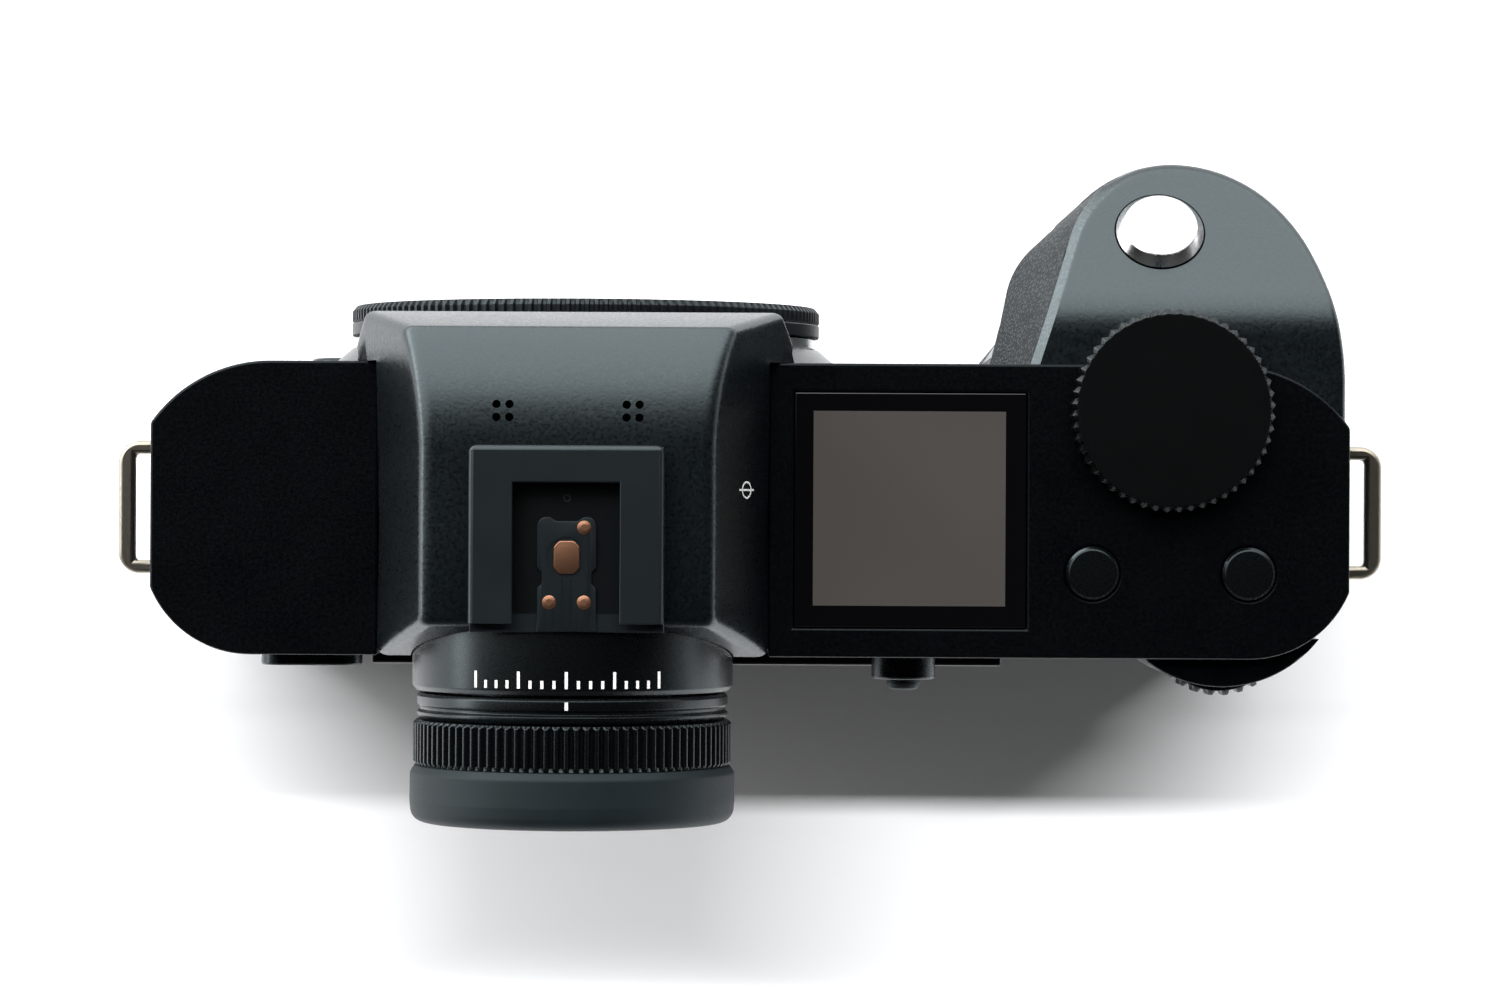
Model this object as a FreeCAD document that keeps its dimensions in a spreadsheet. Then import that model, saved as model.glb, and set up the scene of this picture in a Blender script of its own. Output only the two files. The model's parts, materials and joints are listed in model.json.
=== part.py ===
"""A full-frame mirrorless camera body with its lens mount closed by a body cap.

The origin is the mouth of the tripod socket, on the base plane and on the optical axis.
+Z is up, the front with the lens mount faces -Y, the back +Y, and the grip is towards -X.
All sizes are millimetres. The driving sizes are the cells of the sheet.
"""

import FreeCAD
import Part
import math
import os

import Sketcher
from FreeCAD import Placement, Rotation, Vector

SIZES = {
    # the body in plan and its height
    "body_left": 51.5,
    "body_right": 94.5,
    "front_depth": 16.7,
    "back_depth": 19.1,
    "front_corner_radius": 17.8,
    "front_corner_reach": 14.6,
    "back_corner_radius": 13.2,
    "back_corner_reach": 12.2,
    "parting_rise": 25,
    "shoulder_rise": 15.3,
    "cover_split": 9.6,
    "base_thickness": 2.4,
    "cover_wall": 1.6,
    "front_inset": 0.8,
    "rear_inset": 0.3,
    "plate_wall": 1.5,
    "leather_thickness": 0.6,
    "seam": 0.2,
    "snug": 0.08,
    "free_gap": 0.3,
    # the viewfinder hump
    "hump_half_width": 23.8,
    "barrel_rise": 0.7,
    "hump_wall": 1.8,
    "hump_flank_slope": 0.37,
    "hump_nose_half_width": 25.7,
    "hump_nose_slope": 0.464,
    "hump_nose_reach": 22.8,
    "hump_nose_rise": 7.4,
    "hump_nose_clearance": 0.1,
    "hump_brow_reach": 20.5,
    "hump_brow_drop": 4.5,
    "hump_roof_start": 6,
    "hump_roof_end": 15,
    "microphone_radius": 0.5,
    "microphone_pitch": 1.53,
    "microphone_offset": 7.67,
    "microphone_reach": 10.4,
    "finder_panel_half_width": 12,
    "finder_panel_front": 4,
    "finder_panel_thickness": 3,
    "finder_panel_foot": 8,
    # the hot shoe
    "shoe_width": 22.9,
    "shoe_slot_width": 18.7,
    "shoe_throat_width": 12.6,
    "shoe_front": 6.3,
    "shoe_back": 15.7,
    "shoe_lip_back": 14.6,
    "shoe_stop": 2,
    "shoe_floor": 1,
    "shoe_slot_height": 2.1,
    "shoe_lip": 0.9,
    "shoe_block_width": 7,
    "shoe_block_start": 2.1,
    "shoe_block_height": 0.4,
    "shoe_contact_height": 0.2,
    "shoe_main_contact_radius": 1.6,
    "shoe_small_contact_radius": 0.85,
    "shoe_main_contact_y": 6.85,
    "shoe_contact_spread": 2.05,
    "shoe_front_contact_step": 3.5,
    "shoe_rear_contact_step": 5.3,
    # the top display, dial and buttons
    "display_centre": 41,
    "display_offset": 1.15,
    "display_width": 28.4,
    "display_length": 28.8,
    "display_ledge": 1.2,
    "display_glass_thickness": 1,
    "display_module_depth": 1.6,
    "dial_x": 72.6,
    "dial_y": 11.06,
    "dial_radius": 12.35,
    "dial_height": 4.6,
    "dial_teeth": 52,
    "dial_tooth_depth": 0.5,
    "dial_shaft_radius": 3,
    "dial_washer_radius": 3.9,
    "top_button_radius": 3.27,
    "top_button_y": 8.7,
    "top_button_inner_x": 63.2,
    "top_button_outer_x": 82.2,
    "button_flange": 0.6,
    "button_flange_thickness": 0.8,
    "button_head": 0.7,
    "button_edge": 0.4,
    "button_dome": 0.1,
    # the thumb wheel and the thumb rest
    "wheel_x": 79.4,
    "wheel_y": 14.76,
    "wheel_radius": 9.1,
    "wheel_rise": 1.5,
    "wheel_thickness": 6,
    "wheel_teeth": 30,
    "wheel_tooth_depth": 0.7,
    "wheel_axle_radius": 1.5,
    "wheel_boss_radius": 2.6,
    "thumb_radius": 15,
    "thumb_y": 7.65,
    "thumb_drop": 14,
    "thumb_rise": 11,
    # the grip
    "grip_rise": 14.6,
    "grip_tilt": 31,
    "grip_break": 23.3,
    "grip_break_radius": 20,
    "grip_nose_x": 74.1,
    "grip_nose_y": 26.2,
    "grip_nose_radius": 16,
    "grip_nose_start": 34.2,
    "grip_outer_x": 94.3,
    "grip_outer_radius": 26.8,
    "grip_inner_radius": 25,
    "grip_inner_x": 52.6,
    "grip_inner_y": 22,
    "grip_root_x": 51.3,
    "grip_crest_x": 56.5,
    "grip_leather_thickness": 1,
    "grip_lip": 1,
    "grip_leather_reach": 31,
    "grip_pocket_left": 62,
    "grip_pocket_right": 86,
    "grip_pocket_reach": 27,
    "grip_pocket_height": 8,
    # the shutter button
    "shutter_x": 71.8,
    "shutter_y": 33.3,
    "shutter_base_radius": 5.4,
    "shutter_top_radius": 4.4,
    "shutter_head_height": 1.4,
    "shutter_stem_radius": 2,
    "shutter_recess": 2,
    "shutter_skirt": 0.6,
    "shutter_band": 0.1,
    "shutter_rim_width": 1.2,
    "shutter_rim_rise": 0.05,
    "shutter_dish": 0.15,
    "shutter_stem_length": 5,
    "shutter_bore_depth": 14,
    # the lens mount and the body cap
    "turret_foot_radius": 33.5,
    "turret_top_radius": 30.3,
    "turret_top_reach": 19.5,
    "flange_thickness": 1.4,
    "flange_radius": 29.9,
    "throat_radius": 25.8,
    "mount_sleeve_radius": 28,
    "turret_bore_radius": 28.3,
    "claw_inner_radius": 24.2,
    "claw_thickness": 1.5,
    "claw_angle": 56,
    "cap_radius": 30.4,
    "cap_rise": 4,
    "cap_gap": 0.1,
    "cap_sleeve_radius": 23.9,
    "cap_sleeve_wall": 1.5,
    "cap_sleeve_depth": 3.4,
    "cap_tab_radius": 25.5,
    "cap_tab_thickness": 1.1,
    "cap_tab_angle": 40,
    "cap_floor": 2.2,
    "cap_dish_radius": 27.3,
    "cap_dish_depth": 0.6,
    "cap_edge": 0.5,
    "cap_notch_angle": 16,
    "cap_notch_inner_radius": 24.6,
    "contact_block_inner_radius": 22.5,
    "contact_block_depth": 3.9,
    "contact_block_thickness": 4,
    "contact_block_angle": 50,
    "contact_pin_radius": 0.5,
    "contact_pin_length": 0.3,
    "contact_pin_count": 10,
    "lock_pin_radius": 0.6,
    "lock_pin_circle": 26.9,
    "lock_pin_proud": 0.9,
    "lock_pin_length": 6.6,
    "release_x": 33.6,
    "release_drop": 23.5,
    "release_radius": 4.5,
    "release_head": 2.4,
    "front_button_x": 42.8,
    "front_button_radius": 3.2,
    "front_button_rise": 8,
    # the inside
    "chassis_left": 36,
    "chassis_right": 57,
    "chassis_plate": 4,
    "chassis_bore_radius": 26,
    "chassis_wall": 3,
    "chassis_drop": 2,
    "shutter_unit_depth": 4,
    "shutter_unit_half_width": 29.5,
    "shutter_unit_clearance": 3.1,
    "shutter_unit_rim": 4.7,
    "frame_half_width": 18.3,
    "frame_half_height": 12.3,
    "curtain_thickness": 0.5,
    "curtain_slot": 1,
    "curtain_overlap": 0.8,
    "curtain_drop": 0.2,
    "curtain_rim": 1.3,
    "sensor_half_width": 20,
    "sensor_half_height": 14,
    "sensor_front": 1.2,
    "sensor_thickness": 2,
    "cover_glass_thickness": 1.2,
    "slider_half_width": 26,
    "slider_half_height": 20,
    "slider_thickness": 2,
    "back_frame_y": 3.4,
    "back_frame_thickness": 2,
    "back_frame_bottom": 12,
    "back_window_half_width": 22,
    "back_window_half_height": 16,
    "slider_window_half_width": 12,
    "slider_window_half_height": 8,
    "board_thickness": 1.6,
    "board_left": 30,
    "board_right": 48,
    "board_bottom": 10,
    "board_drop": 7,
    "processor_half": 8,
    "processor_thickness": 1.2,
    "memory_x": 22,
    "memory_half": 6,
    "memory_thickness": 1,
    "tripod_block_half_width": 14,
    "tripod_block_front": 5.8,
    "tripod_block_back": 6.2,
    "tripod_block_top": 9.5,
    "bush_radius": 5,
    "bush_height": 7.5,
    "thread_bore_radius": 2.6,
    "thread_depth": 6,
    "battery_x": 73,
    "battery_width": 31,
    "battery_front": 28,
    "battery_thickness": 20,
    "battery_height": 60,
    "battery_recess": 0.2,
    "battery_gap": 0.25,
    "battery_box_wall": 1.2,
    "battery_corner": 2,
    "battery_lever_x": 50.5,
    "battery_lever_y": 2,
    "battery_lever_reach": 8,
    "battery_lever_hub": 2.4,
    "battery_lever_half_width": 1.6,
    "battery_lever_shaft_radius": 1,
    "battery_lever_thickness": 1.2,
    "card_slot_depth": 31,
    "card_slot_height": 26,
    "card_slot_back": 8,
    "card_mouth_height": 24.6,
    "card_mouth_width": 2.5,
    "card_mouth_pitch": 5.6,
    "card_mouth_centre": 0.6,
    # the doors in the two ends
    "door_thickness": 1.6,
    "door_front": 7.5,
    "door_pivot": 8.6,
    "door_pin_radius": 0.6,
    "door_pin_length": 1.6,
    "end_block_depth": 8,
    "end_block_margin": 2.5,
    "close_gap": 0.15,
    "card_door_bottom": 15,
    "card_door_top": 46,
    "lower_door_bottom": 12,
    "lower_door_top": 33,
    "upper_door_bottom": 38,
    "upper_door_top": 59,
    "socket_depth": 6,
    "bay_margin": 2,
    "jack_radius": 1.75,
    "jack_offset": 4.5,
    "wide_port_half_width": 2.4,
    "wide_port_half_height": 7.1,
    "wide_port_tongue_half_width": 0.6,
    "wide_port_tongue_half_height": 5.6,
    # the back
    "screen_left": 26.5,
    "screen_right": 53.5,
    "screen_bottom": 7,
    "screen_drop": 10.2,
    "screen_clearance": 4.9,
    "screen_proud": 1.9,
    "screen_depth": 4.4,
    "screen_module_margin": 1.5,
    "rear_button_x": 61,
    "rear_button_radius": 3.2,
    "rear_button_low": 24,
    "rear_button_pitch": 12,
    "eye_button_x": 29.5,
    "eye_button_drop": 6.3,
    "eye_button_radius": 2.2,
    "lever_x": 30,
    "lever_drop": 4,
    "lever_hub_radius": 2.8,
    "lever_reach": 7.1,
    "lever_thickness": 1.7,
    "lever_shaft_radius": 1.2,
    "lever_collar_thickness": 1,
    "stick_x": 40.9,
    "stick_drop": 4,
    "stick_boss_radius": 4,
    "stick_boss_reach": 22.4,
    "stick_bore_radius": 2.9,
    "stick_stem_radius": 0.8,
    "gimbal_radius": 0.45,
    "gimbal_half_length": 0.8,
    "stick_knob_radius": 2.1,
    "stick_knob_reach": 23.8,
    "stick_pivot_reach": 19.3,
    "stick_knob_skirt": 1.6,
    "stick_knob_cone": 0.6,
    "stick_knob_edge": 0.5,
    "stick_knob_dish": 0.2,
    "stick_foot_gap": 0.3,
    "plunger_depth": 2.3,
    "plunger_thickness": 1.6,
    # the eyepiece
    "barrel_radius": 19.5,
    "barrel_start": 14.6,
    "barrel_end": 23.2,
    "barrel_tube_radius": 15,
    "barrel_tube_start": 9,
    "barrel_tube_end": 31.5,
    "barrel_bore_radius": 13.2,
    "index_ring_step": 0.6,
    "ring_bore_radius": 15.3,
    "index_ring_start": 23.5,
    "knurl_start": 27.2,
    "knurl_step": 0.1,
    "eyecup_start": 32.3,
    "eyecup_end": 39.2,
    "eyecup_flare": 0.3,
    "eyecup_rim_width": 2.8,
    "eyecup_foot_step": 0.4,
    "eyecup_foot_height": 1.2,
    "eyecup_edge": 1.6,
    "eyecup_floor": 2,
    "eye_lens_start": 24,
    "eye_lens_end": 29.4,
    "eye_lens_dome": 1.4,
    # strap lugs and screws
    "lug_reach": 4.8,
    "lug_centre": 1.25,
    "lug_length": 16.3,
    "lug_bar": 2,
    "lug_thickness": 2.2,
    "lug_rise": 7.5,
    "lug_corner_radius": 2.6,
    "screw_head_radius": 1.7,
    "screw_slot": 0.5,
    "mount_screw_length": 1.1,
    "base_screw_sink": 0.15,
    "base_screw_end": 9,
    "base_screw_side": 8,
    "base_screw_middle": 32,
    "base_screw_middle_side": 5,
}

LEFT = 1
RIGHT = -1
STRAIGHT = Rotation()
FACING = {
    "z": STRAIGHT,
    "-z": Rotation(Vector(1, 0, 0), 180),
    "y": Rotation(Vector(1, 0, 0), -90),
    "-y": Rotation(Vector(1, 0, 0), 90),
    "x": Rotation(Vector(0, 1, 0), 90),
    "-x": Rotation(Vector(0, 1, 0), -90),
}

doc = FreeCAD.newDocument("camera")
sheet = doc.addObject("Spreadsheet::Sheet", "sizes")
for row, (alias, amount) in enumerate(SIZES.items(), start=1):
    sheet.set("A%d" % row, alias)
    sheet.set("B%d" % row, str(amount))
    sheet.setAlias("B%d" % row, alias)
doc.recompute()


class Size:
    """A length with the formula that keeps it bound to the sheet."""

    def __init__(self, value, formula):
        self.value = value
        self.formula = formula

    def __add__(self, other):
        other = as_size(other)
        return Size(self.value + other.value, "(%s + %s)" % (self.formula, other.formula))

    def __sub__(self, other):
        other = as_size(other)
        return Size(self.value - other.value, "(%s - %s)" % (self.formula, other.formula))

    def __mul__(self, other):
        other = as_size(other)
        return Size(self.value * other.value, "(%s * %s)" % (self.formula, other.formula))

    def __truediv__(self, other):
        other = as_size(other)
        return Size(self.value / other.value, "(%s / %s)" % (self.formula, other.formula))

    def __neg__(self):
        return Size(-self.value, "(0 - %s)" % self.formula)

    def __radd__(self, other):
        return as_size(other) + self

    def __rsub__(self, other):
        return as_size(other) - self

    def __rmul__(self, other):
        return as_size(other) * self


def as_size(amount):
    """A plain number as a Size; a Size stays as it is."""
    return amount if isinstance(amount, Size) else Size(float(amount), repr(float(amount)))


def size(alias):
    """The value of a cell of the sheet, bound to that cell."""
    return Size(float(SIZES[alias]), "sizes." + alias)


def root(amount):
    """The square root of a size."""
    return Size(math.sqrt(amount.value), "sqrt(%s)" % amount.formula)


def sine(angle):
    """The sine of an angle given in degrees."""
    return Size(math.sin(math.radians(angle.value)), "sin(%s * 1 deg)" % angle.formula)


def cosine(angle):
    """The cosine of an angle given in degrees."""
    return Size(math.cos(math.radians(angle.value)), "cos(%s * 1 deg)" % angle.formula)


def chord_rise(radius, half_chord):
    """How far the centre of a circle lies from a chord of it."""
    return root(radius * radius - half_chord * half_chord)


def bind(thing, name, amount):
    """Set a property and bind it to the sheet."""
    amount = as_size(amount)
    setattr(thing, name, amount.value)
    if "sizes." in amount.formula:
        thing.setExpression(name, amount.formula)


def seat(thing, place, turn=STRAIGHT):
    """Put an object at a place that stays bound to the sheet."""
    place = [as_size(amount) for amount in place]
    thing.Placement = Placement(Vector(*[amount.value for amount in place]), turn)
    for letter, amount in zip("xyz", place):
        if "sizes." in amount.formula:
            thing.setExpression("Placement.Base." + letter, amount.formula)
    return thing


def block(name, x, y, z):
    """A box between three pairs of planes, each given as low and high."""
    box = doc.addObject("Part::Box", name)
    for side, (low, high) in zip(("Length", "Width", "Height"), (x, y, z)):
        bind(box, side, as_size(high) - low)
    return seat(box, (x[0], y[0], z[0]))


def spot(along, start, across):
    """The point at start on an axis that runs along x, y or z through the two other coordinates."""
    if along == "x":
        return (start, across[0], across[1])
    if along == "y":
        return (across[0], start, across[1])
    return (across[0], across[1], start)


def rod(name, along, radius, span, across):
    """A cylinder along an axis, from the first to the second value of span."""
    cylinder = doc.addObject("Part::Cylinder", name)
    bind(cylinder, "Radius", radius)
    bind(cylinder, "Height", as_size(span[1]) - span[0])
    return seat(cylinder, spot(along, span[0], across), FACING[along])


def taper(name, along, radii, span, across):
    """A cone along an axis, with its two radii in the order of span."""
    cone = doc.addObject("Part::Cone", name)
    bind(cone, "Radius1", radii[0])
    bind(cone, "Radius2", radii[1])
    bind(cone, "Height", as_size(span[1]) - span[0])
    return seat(cone, spot(along, span[0], across), FACING[along])


def draw(sketch, corners):
    """Draw a closed outline and bind its corners.

    A corner is (across, up), and the edge that leaves it is a line. With (across, up, side,
    radius) the edge is an arc under half a circle that turns to that side, LEFT or RIGHT.
    """
    points = [(as_size(corner[0]), as_size(corner[1])) for corner in corners]
    count = len(corners)
    tips = []
    arcs = []
    for index, corner in enumerate(corners):
        here = Vector(points[index][0].value, points[index][1].value, 0)
        following = points[(index + 1) % count]
        there = Vector(following[0].value, following[1].value, 0)
        if len(corner) == 2:
            sketch.addGeometry(Part.LineSegment(here, there), False)
            tips.append((1, 2))
            continue
        side = corner[2]
        radius = as_size(corner[3])
        half = (there - here) * 0.5
        rise = math.sqrt(radius.value ** 2 - half.Length ** 2)
        inward = Vector(-half.y, half.x, 0).normalize() * (side * rise)
        centre = here + half + inward
        first, last = (here, there) if side == LEFT else (there, here)
        start = math.atan2(first.y - centre.y, first.x - centre.x)
        end = math.atan2(last.y - centre.y, last.x - centre.x)
        if end < start:
            end += 2 * math.pi
        circle = Part.Circle(centre, Vector(0, 0, 1), radius.value)
        sketch.addGeometry(Part.ArcOfCircle(circle, start, end), False)
        tips.append((1, 2) if side == LEFT else (2, 1))
        arcs.append((index, radius))
    rules = []
    formulas = []
    for index in range(count):
        following = (index + 1) % count
        rules.append(Sketcher.Constraint("Coincident", index, tips[index][1], following, tips[following][0]))
        formulas.append(None)
        for kind, amount in zip(("DistanceX", "DistanceY"), points[index]):
            rules.append(Sketcher.Constraint(kind, -1, 1, index, tips[index][0], amount.value))
            formulas.append(amount.formula)
    for index, radius in arcs:
        rules.append(Sketcher.Constraint("Radius", index, radius.value))
        formulas.append(radius.formula)
    sketch.addConstraint(rules)
    for index, formula in enumerate(formulas):
        if formula and "sizes." in formula:
            sketch.setExpression("Constraints[%d]" % index, formula)


PLANES = {
    "top": (STRAIGHT, Vector(0, 0, 1)),
    "front": (Rotation(Vector(1, 0, 0), 90), Vector(0, 1, 0)),
    "side": (Rotation(Vector(1, 1, 1), 120), Vector(1, 0, 0)),
}


def outline(name, plane, level, corners):
    """A sketch of a closed outline: top is in X and Y, front in X and Z, side in Y and Z."""
    sketch = doc.addObject("Sketcher::SketchObject", name)
    draw(sketch, corners)
    place = {"top": (0, 0, level), "front": (0, level, 0), "side": (level, 0, 0)}[plane]
    return seat(sketch, place, PLANES[plane][0])


def prism(name, plane, corners, span):
    """An outline carried straight from the first to the second value of span."""
    solid = doc.addObject("Part::Extrusion", name)
    solid.Base = outline(name + "_outline", plane, span[0], corners)
    solid.DirMode = "Custom"
    solid.Dir = PLANES[plane][1]
    solid.Solid = True
    bind(solid, "LengthFwd", as_size(span[1]) - span[0])
    return solid


def turned(name, corners, place, turn=STRAIGHT):
    """A solid of revolution from corners given as (radius, height) about its own upright axis."""
    solid = doc.addObject("Part::Revolution", name)
    solid.Source = outline(name + "_profile", "front", 0, corners)
    solid.Axis = Vector(0, 0, 1)
    solid.Angle = 360
    solid.Solid = True
    return seat(solid, place, turn)


def skin(name, sections):
    """A solid between two or more outlines with equal numbers of corners."""
    solid = doc.addObject("Part::Loft", name)
    solid.Sections = sections
    solid.Solid = True
    solid.Ruled = True
    return solid


def joined(name, *pieces):
    """Several solids made one."""
    whole = doc.addObject("Part::MultiFuse", name)
    whole.Shapes = list(pieces)
    return whole


def shared(name, *pieces):
    """What several solids have in common."""
    common = doc.addObject("Part::MultiCommon", name)
    common.Shapes = list(pieces)
    return common


def less(name, base, *tools):
    """A solid with others taken out of it."""
    rest = doc.addObject("Part::Cut", name)
    rest.Base = base
    rest.Tool = tools[0] if len(tools) == 1 else joined(name + "_tools", *tools)
    return rest


def group(name, pieces):
    """Separate solids that belong to one node."""
    cluster = doc.addObject("Part::Compound", name)
    cluster.Links = list(pieces)
    return cluster


nodes = []


def node(label, thing):
    """Give a finished sub-part its label and list it."""
    thing.Label = label
    nodes.append(thing)
    return thing


# Places that several pieces share

left = size("body_left")
right = -size("body_right")
front = -size("front_depth")
back = size("back_depth")
split = -size("cover_split")
floor = size("base_thickness")
seam = size("seam")
snug = size("snug")
free_gap = size("free_gap")
front_face = front + size("front_inset")
front_inner = front_face + size("cover_wall")
leather_face = front_face - size("leather_thickness")
rear_face = back - size("rear_inset")
inner_inset = size("front_inset") + size("cover_wall")
rear_inner = back - inner_inset
close_gap = size("close_gap")
far = 200

# The heights follow one another from the base: the open curtain has to fit under the picture gate, which
# sets the optical axis, the axis sets the parting, and the parting sets the shoulders, screen and eyepiece.
unit_bottom = floor + size("shutter_unit_clearance")
curtain_height = size("frame_half_height") * 2 + size("curtain_overlap")
gate_bottom = unit_bottom + size("curtain_rim") + free_gap + curtain_height + size("curtain_drop")
axis_z = gate_bottom + size("frame_half_height")
parting = axis_z + size("parting_rise")
shoulder = parting + size("shoulder_rise")
chassis_top = parting - size("chassis_drop")
screen_top = parting - size("screen_drop")
eye_z = screen_top + size("screen_clearance") + size("barrel_radius")
roof_z = eye_z + size("barrel_radius") - size("barrel_rise")
nose_foot = axis_z + size("turret_foot_radius") + size("hump_nose_clearance")
nose_z = nose_foot + size("hump_nose_rise")
wheel_bottom = parting + size("wheel_rise")
wheel_top = wheel_bottom + size("wheel_thickness")
grip_top = parting + size("grip_rise")
lever_z = parting - size("lever_drop")
stick_z = parting - size("stick_drop")
release_z = axis_z - size("release_drop")

# The lens mount is stacked forward from the turret's top.
turret_y = -size("turret_top_reach")
flange_y = turret_y - size("flange_thickness")
cap_y = flange_y - size("cap_rise")
cap_sleeve_y = flange_y + size("cap_sleeve_depth")


def plan(inset):
    """The body in plan, drawn in by inset: flat ends between a wide front arc and a back arc."""
    front_arc = size("front_corner_radius") - inset
    back_arc = size("back_corner_radius") - inset
    front_reach = size("front_corner_reach")
    back_reach = size("back_corner_reach")
    front_centre = front + size("front_corner_radius")
    back_centre = back - size("back_corner_radius")
    low = front_centre - chord_rise(front_arc, front_reach - inset)
    high = back_centre + chord_rise(back_arc, back_reach - inset)
    return [
        (right + front_reach, front + inset),
        (left - front_reach, front + inset, LEFT, front_arc),
        (left - inset, low),
        (left - inset, high, LEFT, back_arc),
        (left - back_reach, back - inset),
        (right + back_reach, back - inset, LEFT, back_arc),
        (right + inset, high),
        (right + inset, low, LEFT, front_arc),
    ]


def grip_plan(inset, lean=0):
    """The grip in plan, drawn in by inset, with its finger side moved in by lean."""
    lean = as_size(lean)
    nose_x = -size("grip_nose_x")
    nose_y = -size("grip_nose_y")
    nose_radius = size("grip_nose_radius") - inset
    turn_y = nose_y - (size("grip_nose_start") - size("grip_nose_y")) * nose_radius / size("grip_nose_radius")
    half = chord_rise(nose_radius, nose_y - turn_y)
    return [
        (inset - size("grip_outer_x"), split, LEFT, size("grip_outer_radius") - inset),
        (nose_x - half, turn_y, LEFT, nose_radius),
        (nose_x + half, turn_y, LEFT, size("grip_inner_radius") - inset),
        (-size("grip_inner_x") - inset - lean, -size("grip_inner_y")),
        (-size("grip_root_x") - inset - lean, front),
        (-size("grip_root_x") - inset - lean, split),
    ]


def top_half(name, low, high):
    """A slab over the whole body between two heights, to cut pieces to length."""
    return block(name, (-far, far), (-far, far), (low, high))


# The two shoulder plates and what sits in them


def shoulder_plate(name, low_x, high_x, wall_low, wall_high):
    """One shoulder plate: the plan between two X planes, hollow below, with walls at its cut side."""
    outer = prism(name + "_solid", "top", plan(0), (parting, shoulder))
    outer_reach = block(name + "_reach", (low_x, high_x), (-far, far), (0, far))
    hollow_z = (parting - 1, shoulder - size("plate_wall"))
    inner = prism(name + "_hollow", "top", plan(size("plate_wall")), hollow_z)
    inner_reach = block(
        name + "_hollow_reach", (as_size(low_x) + wall_low, as_size(high_x) - wall_high), (-far, far), (0, far)
    )
    whole = shared(name + "_whole", outer, outer_reach)
    hollow = shared(name + "_inside", inner, inner_reach)
    return whole, hollow


def top_plate_left():
    """The shoulder plate of the left end."""
    whole, hollow = shoulder_plate("left_plate", size("hump_half_width"), far, size("plate_wall"), 0)
    node("top_plate_left", less("left_plate_shell", whole, hollow))


def button_hole(name, direction, radius, place, depth):
    """The bore of a push button, from well outside a face to depth below it."""
    hole = doc.addObject("Part::Cylinder", name)
    bind(hole, "Radius", as_size(radius) + snug)
    bind(hole, "Height", as_size(depth) + size("dial_height"))
    outward = {"z": (0, 0, 1), "y": (0, 1, 0), "-y": (0, -1, 0)}[direction]
    start = [as_size(amount) - way * as_size(depth) for amount, way in zip(place, outward)]
    return seat(hole, start, FACING[direction])


def push_button(label, direction, radius, place, wall, head=None):
    """A button whose flange keeps it behind a wall; place is on the face that it stands in."""
    radius = as_size(radius)
    wall = as_size(wall)
    head = size("button_head") if head is None else as_size(head)
    flange_top = -wall - seam / 2
    flange_bottom = flange_top - size("button_flange_thickness")
    rim = radius + size("button_flange")
    edge = size("button_edge")
    profile = [
        (0, flange_bottom),
        (rim, flange_bottom),
        (rim, flange_top),
        (radius, flange_top),
        (radius, head - edge),
        (radius - edge, head),
        (0, head + size("button_dome")),
    ]
    return node(label, turned(label + "_turned", profile, place, FACING[direction]))


top_buttons = {"inner": -size("top_button_inner_x"), "outer": -size("top_button_outer_x")}


def top_plate_right():
    """The shoulder plate of the grip's end, with the lip over the thumb wheel and all its openings."""
    whole, hollow = shoulder_plate("right_plate", -far, -size("hump_half_width"), 0, size("plate_wall"))
    wheel_x = -size("wheel_x")
    wheel_y = size("wheel_y")
    lip_z = (parting, parting + size("thumb_rise"))
    lip = rod("plate_lip", "z", size("thumb_radius"), lip_z, (wheel_x, size("thumb_y")))
    lip_side = block("plate_lip_side", (-far, far), (rear_inner, far), (0, far))
    lipped = joined("right_plate_lipped", whole, shared("plate_lip_part", lip, lip_side))
    plate = less("right_plate_shell", lipped, hollow)
    boss_z = (wheel_top + free_gap + seam, shoulder - size("plate_wall"))
    boss = rod("wheel_boss", "z", size("wheel_boss_radius"), boss_z, (wheel_x, wheel_y))
    plate = joined("right_plate_boss", plate, boss)
    slot_z = (wheel_bottom - free_gap, wheel_top + free_gap)
    slot = rod("wheel_slot", "z", size("wheel_radius") + free_gap, slot_z, (wheel_x, wheel_y))
    axle_radius = size("wheel_axle_radius") + snug
    axle_z = (parting, shoulder - size("plate_wall") / 2)
    axle_hole = rod("wheel_axle_hole", "z", axle_radius, axle_z, (wheel_x, wheel_y))
    shaft_hole = rod(
        "dial_shaft_hole", "z", size("dial_shaft_radius") + snug, (parting, shoulder + 1),
        (-size("dial_x"), -size("dial_y")),
    )
    centre = -size("display_centre")
    middle = size("display_offset")
    half_width = size("display_width") / 2
    half_length = size("display_length") / 2
    ledge = size("display_ledge")
    window_x = (centre - half_width, centre + half_width)
    window_z = (shoulder - size("display_glass_thickness") - seam / 2, far)
    window = block("display_window", window_x, (middle - half_length, middle + half_length), window_z)
    below = block(
        "display_well", (centre - half_width + ledge, centre + half_width - ledge),
        (middle - half_length + ledge, middle + half_length - ledge), (parting, shoulder),
    )
    depth = size("plate_wall") * 2
    holes = []
    for name, x in top_buttons.items():
        place = (x, size("top_button_y"), shoulder)
        holes.append(button_hole("top_button_hole_" + name, "z", size("top_button_radius"), place, depth))
    node("top_plate_right", less("right_plate_cut", plate, slot, axle_hole, shaft_hole, window, below, *holes))


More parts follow.
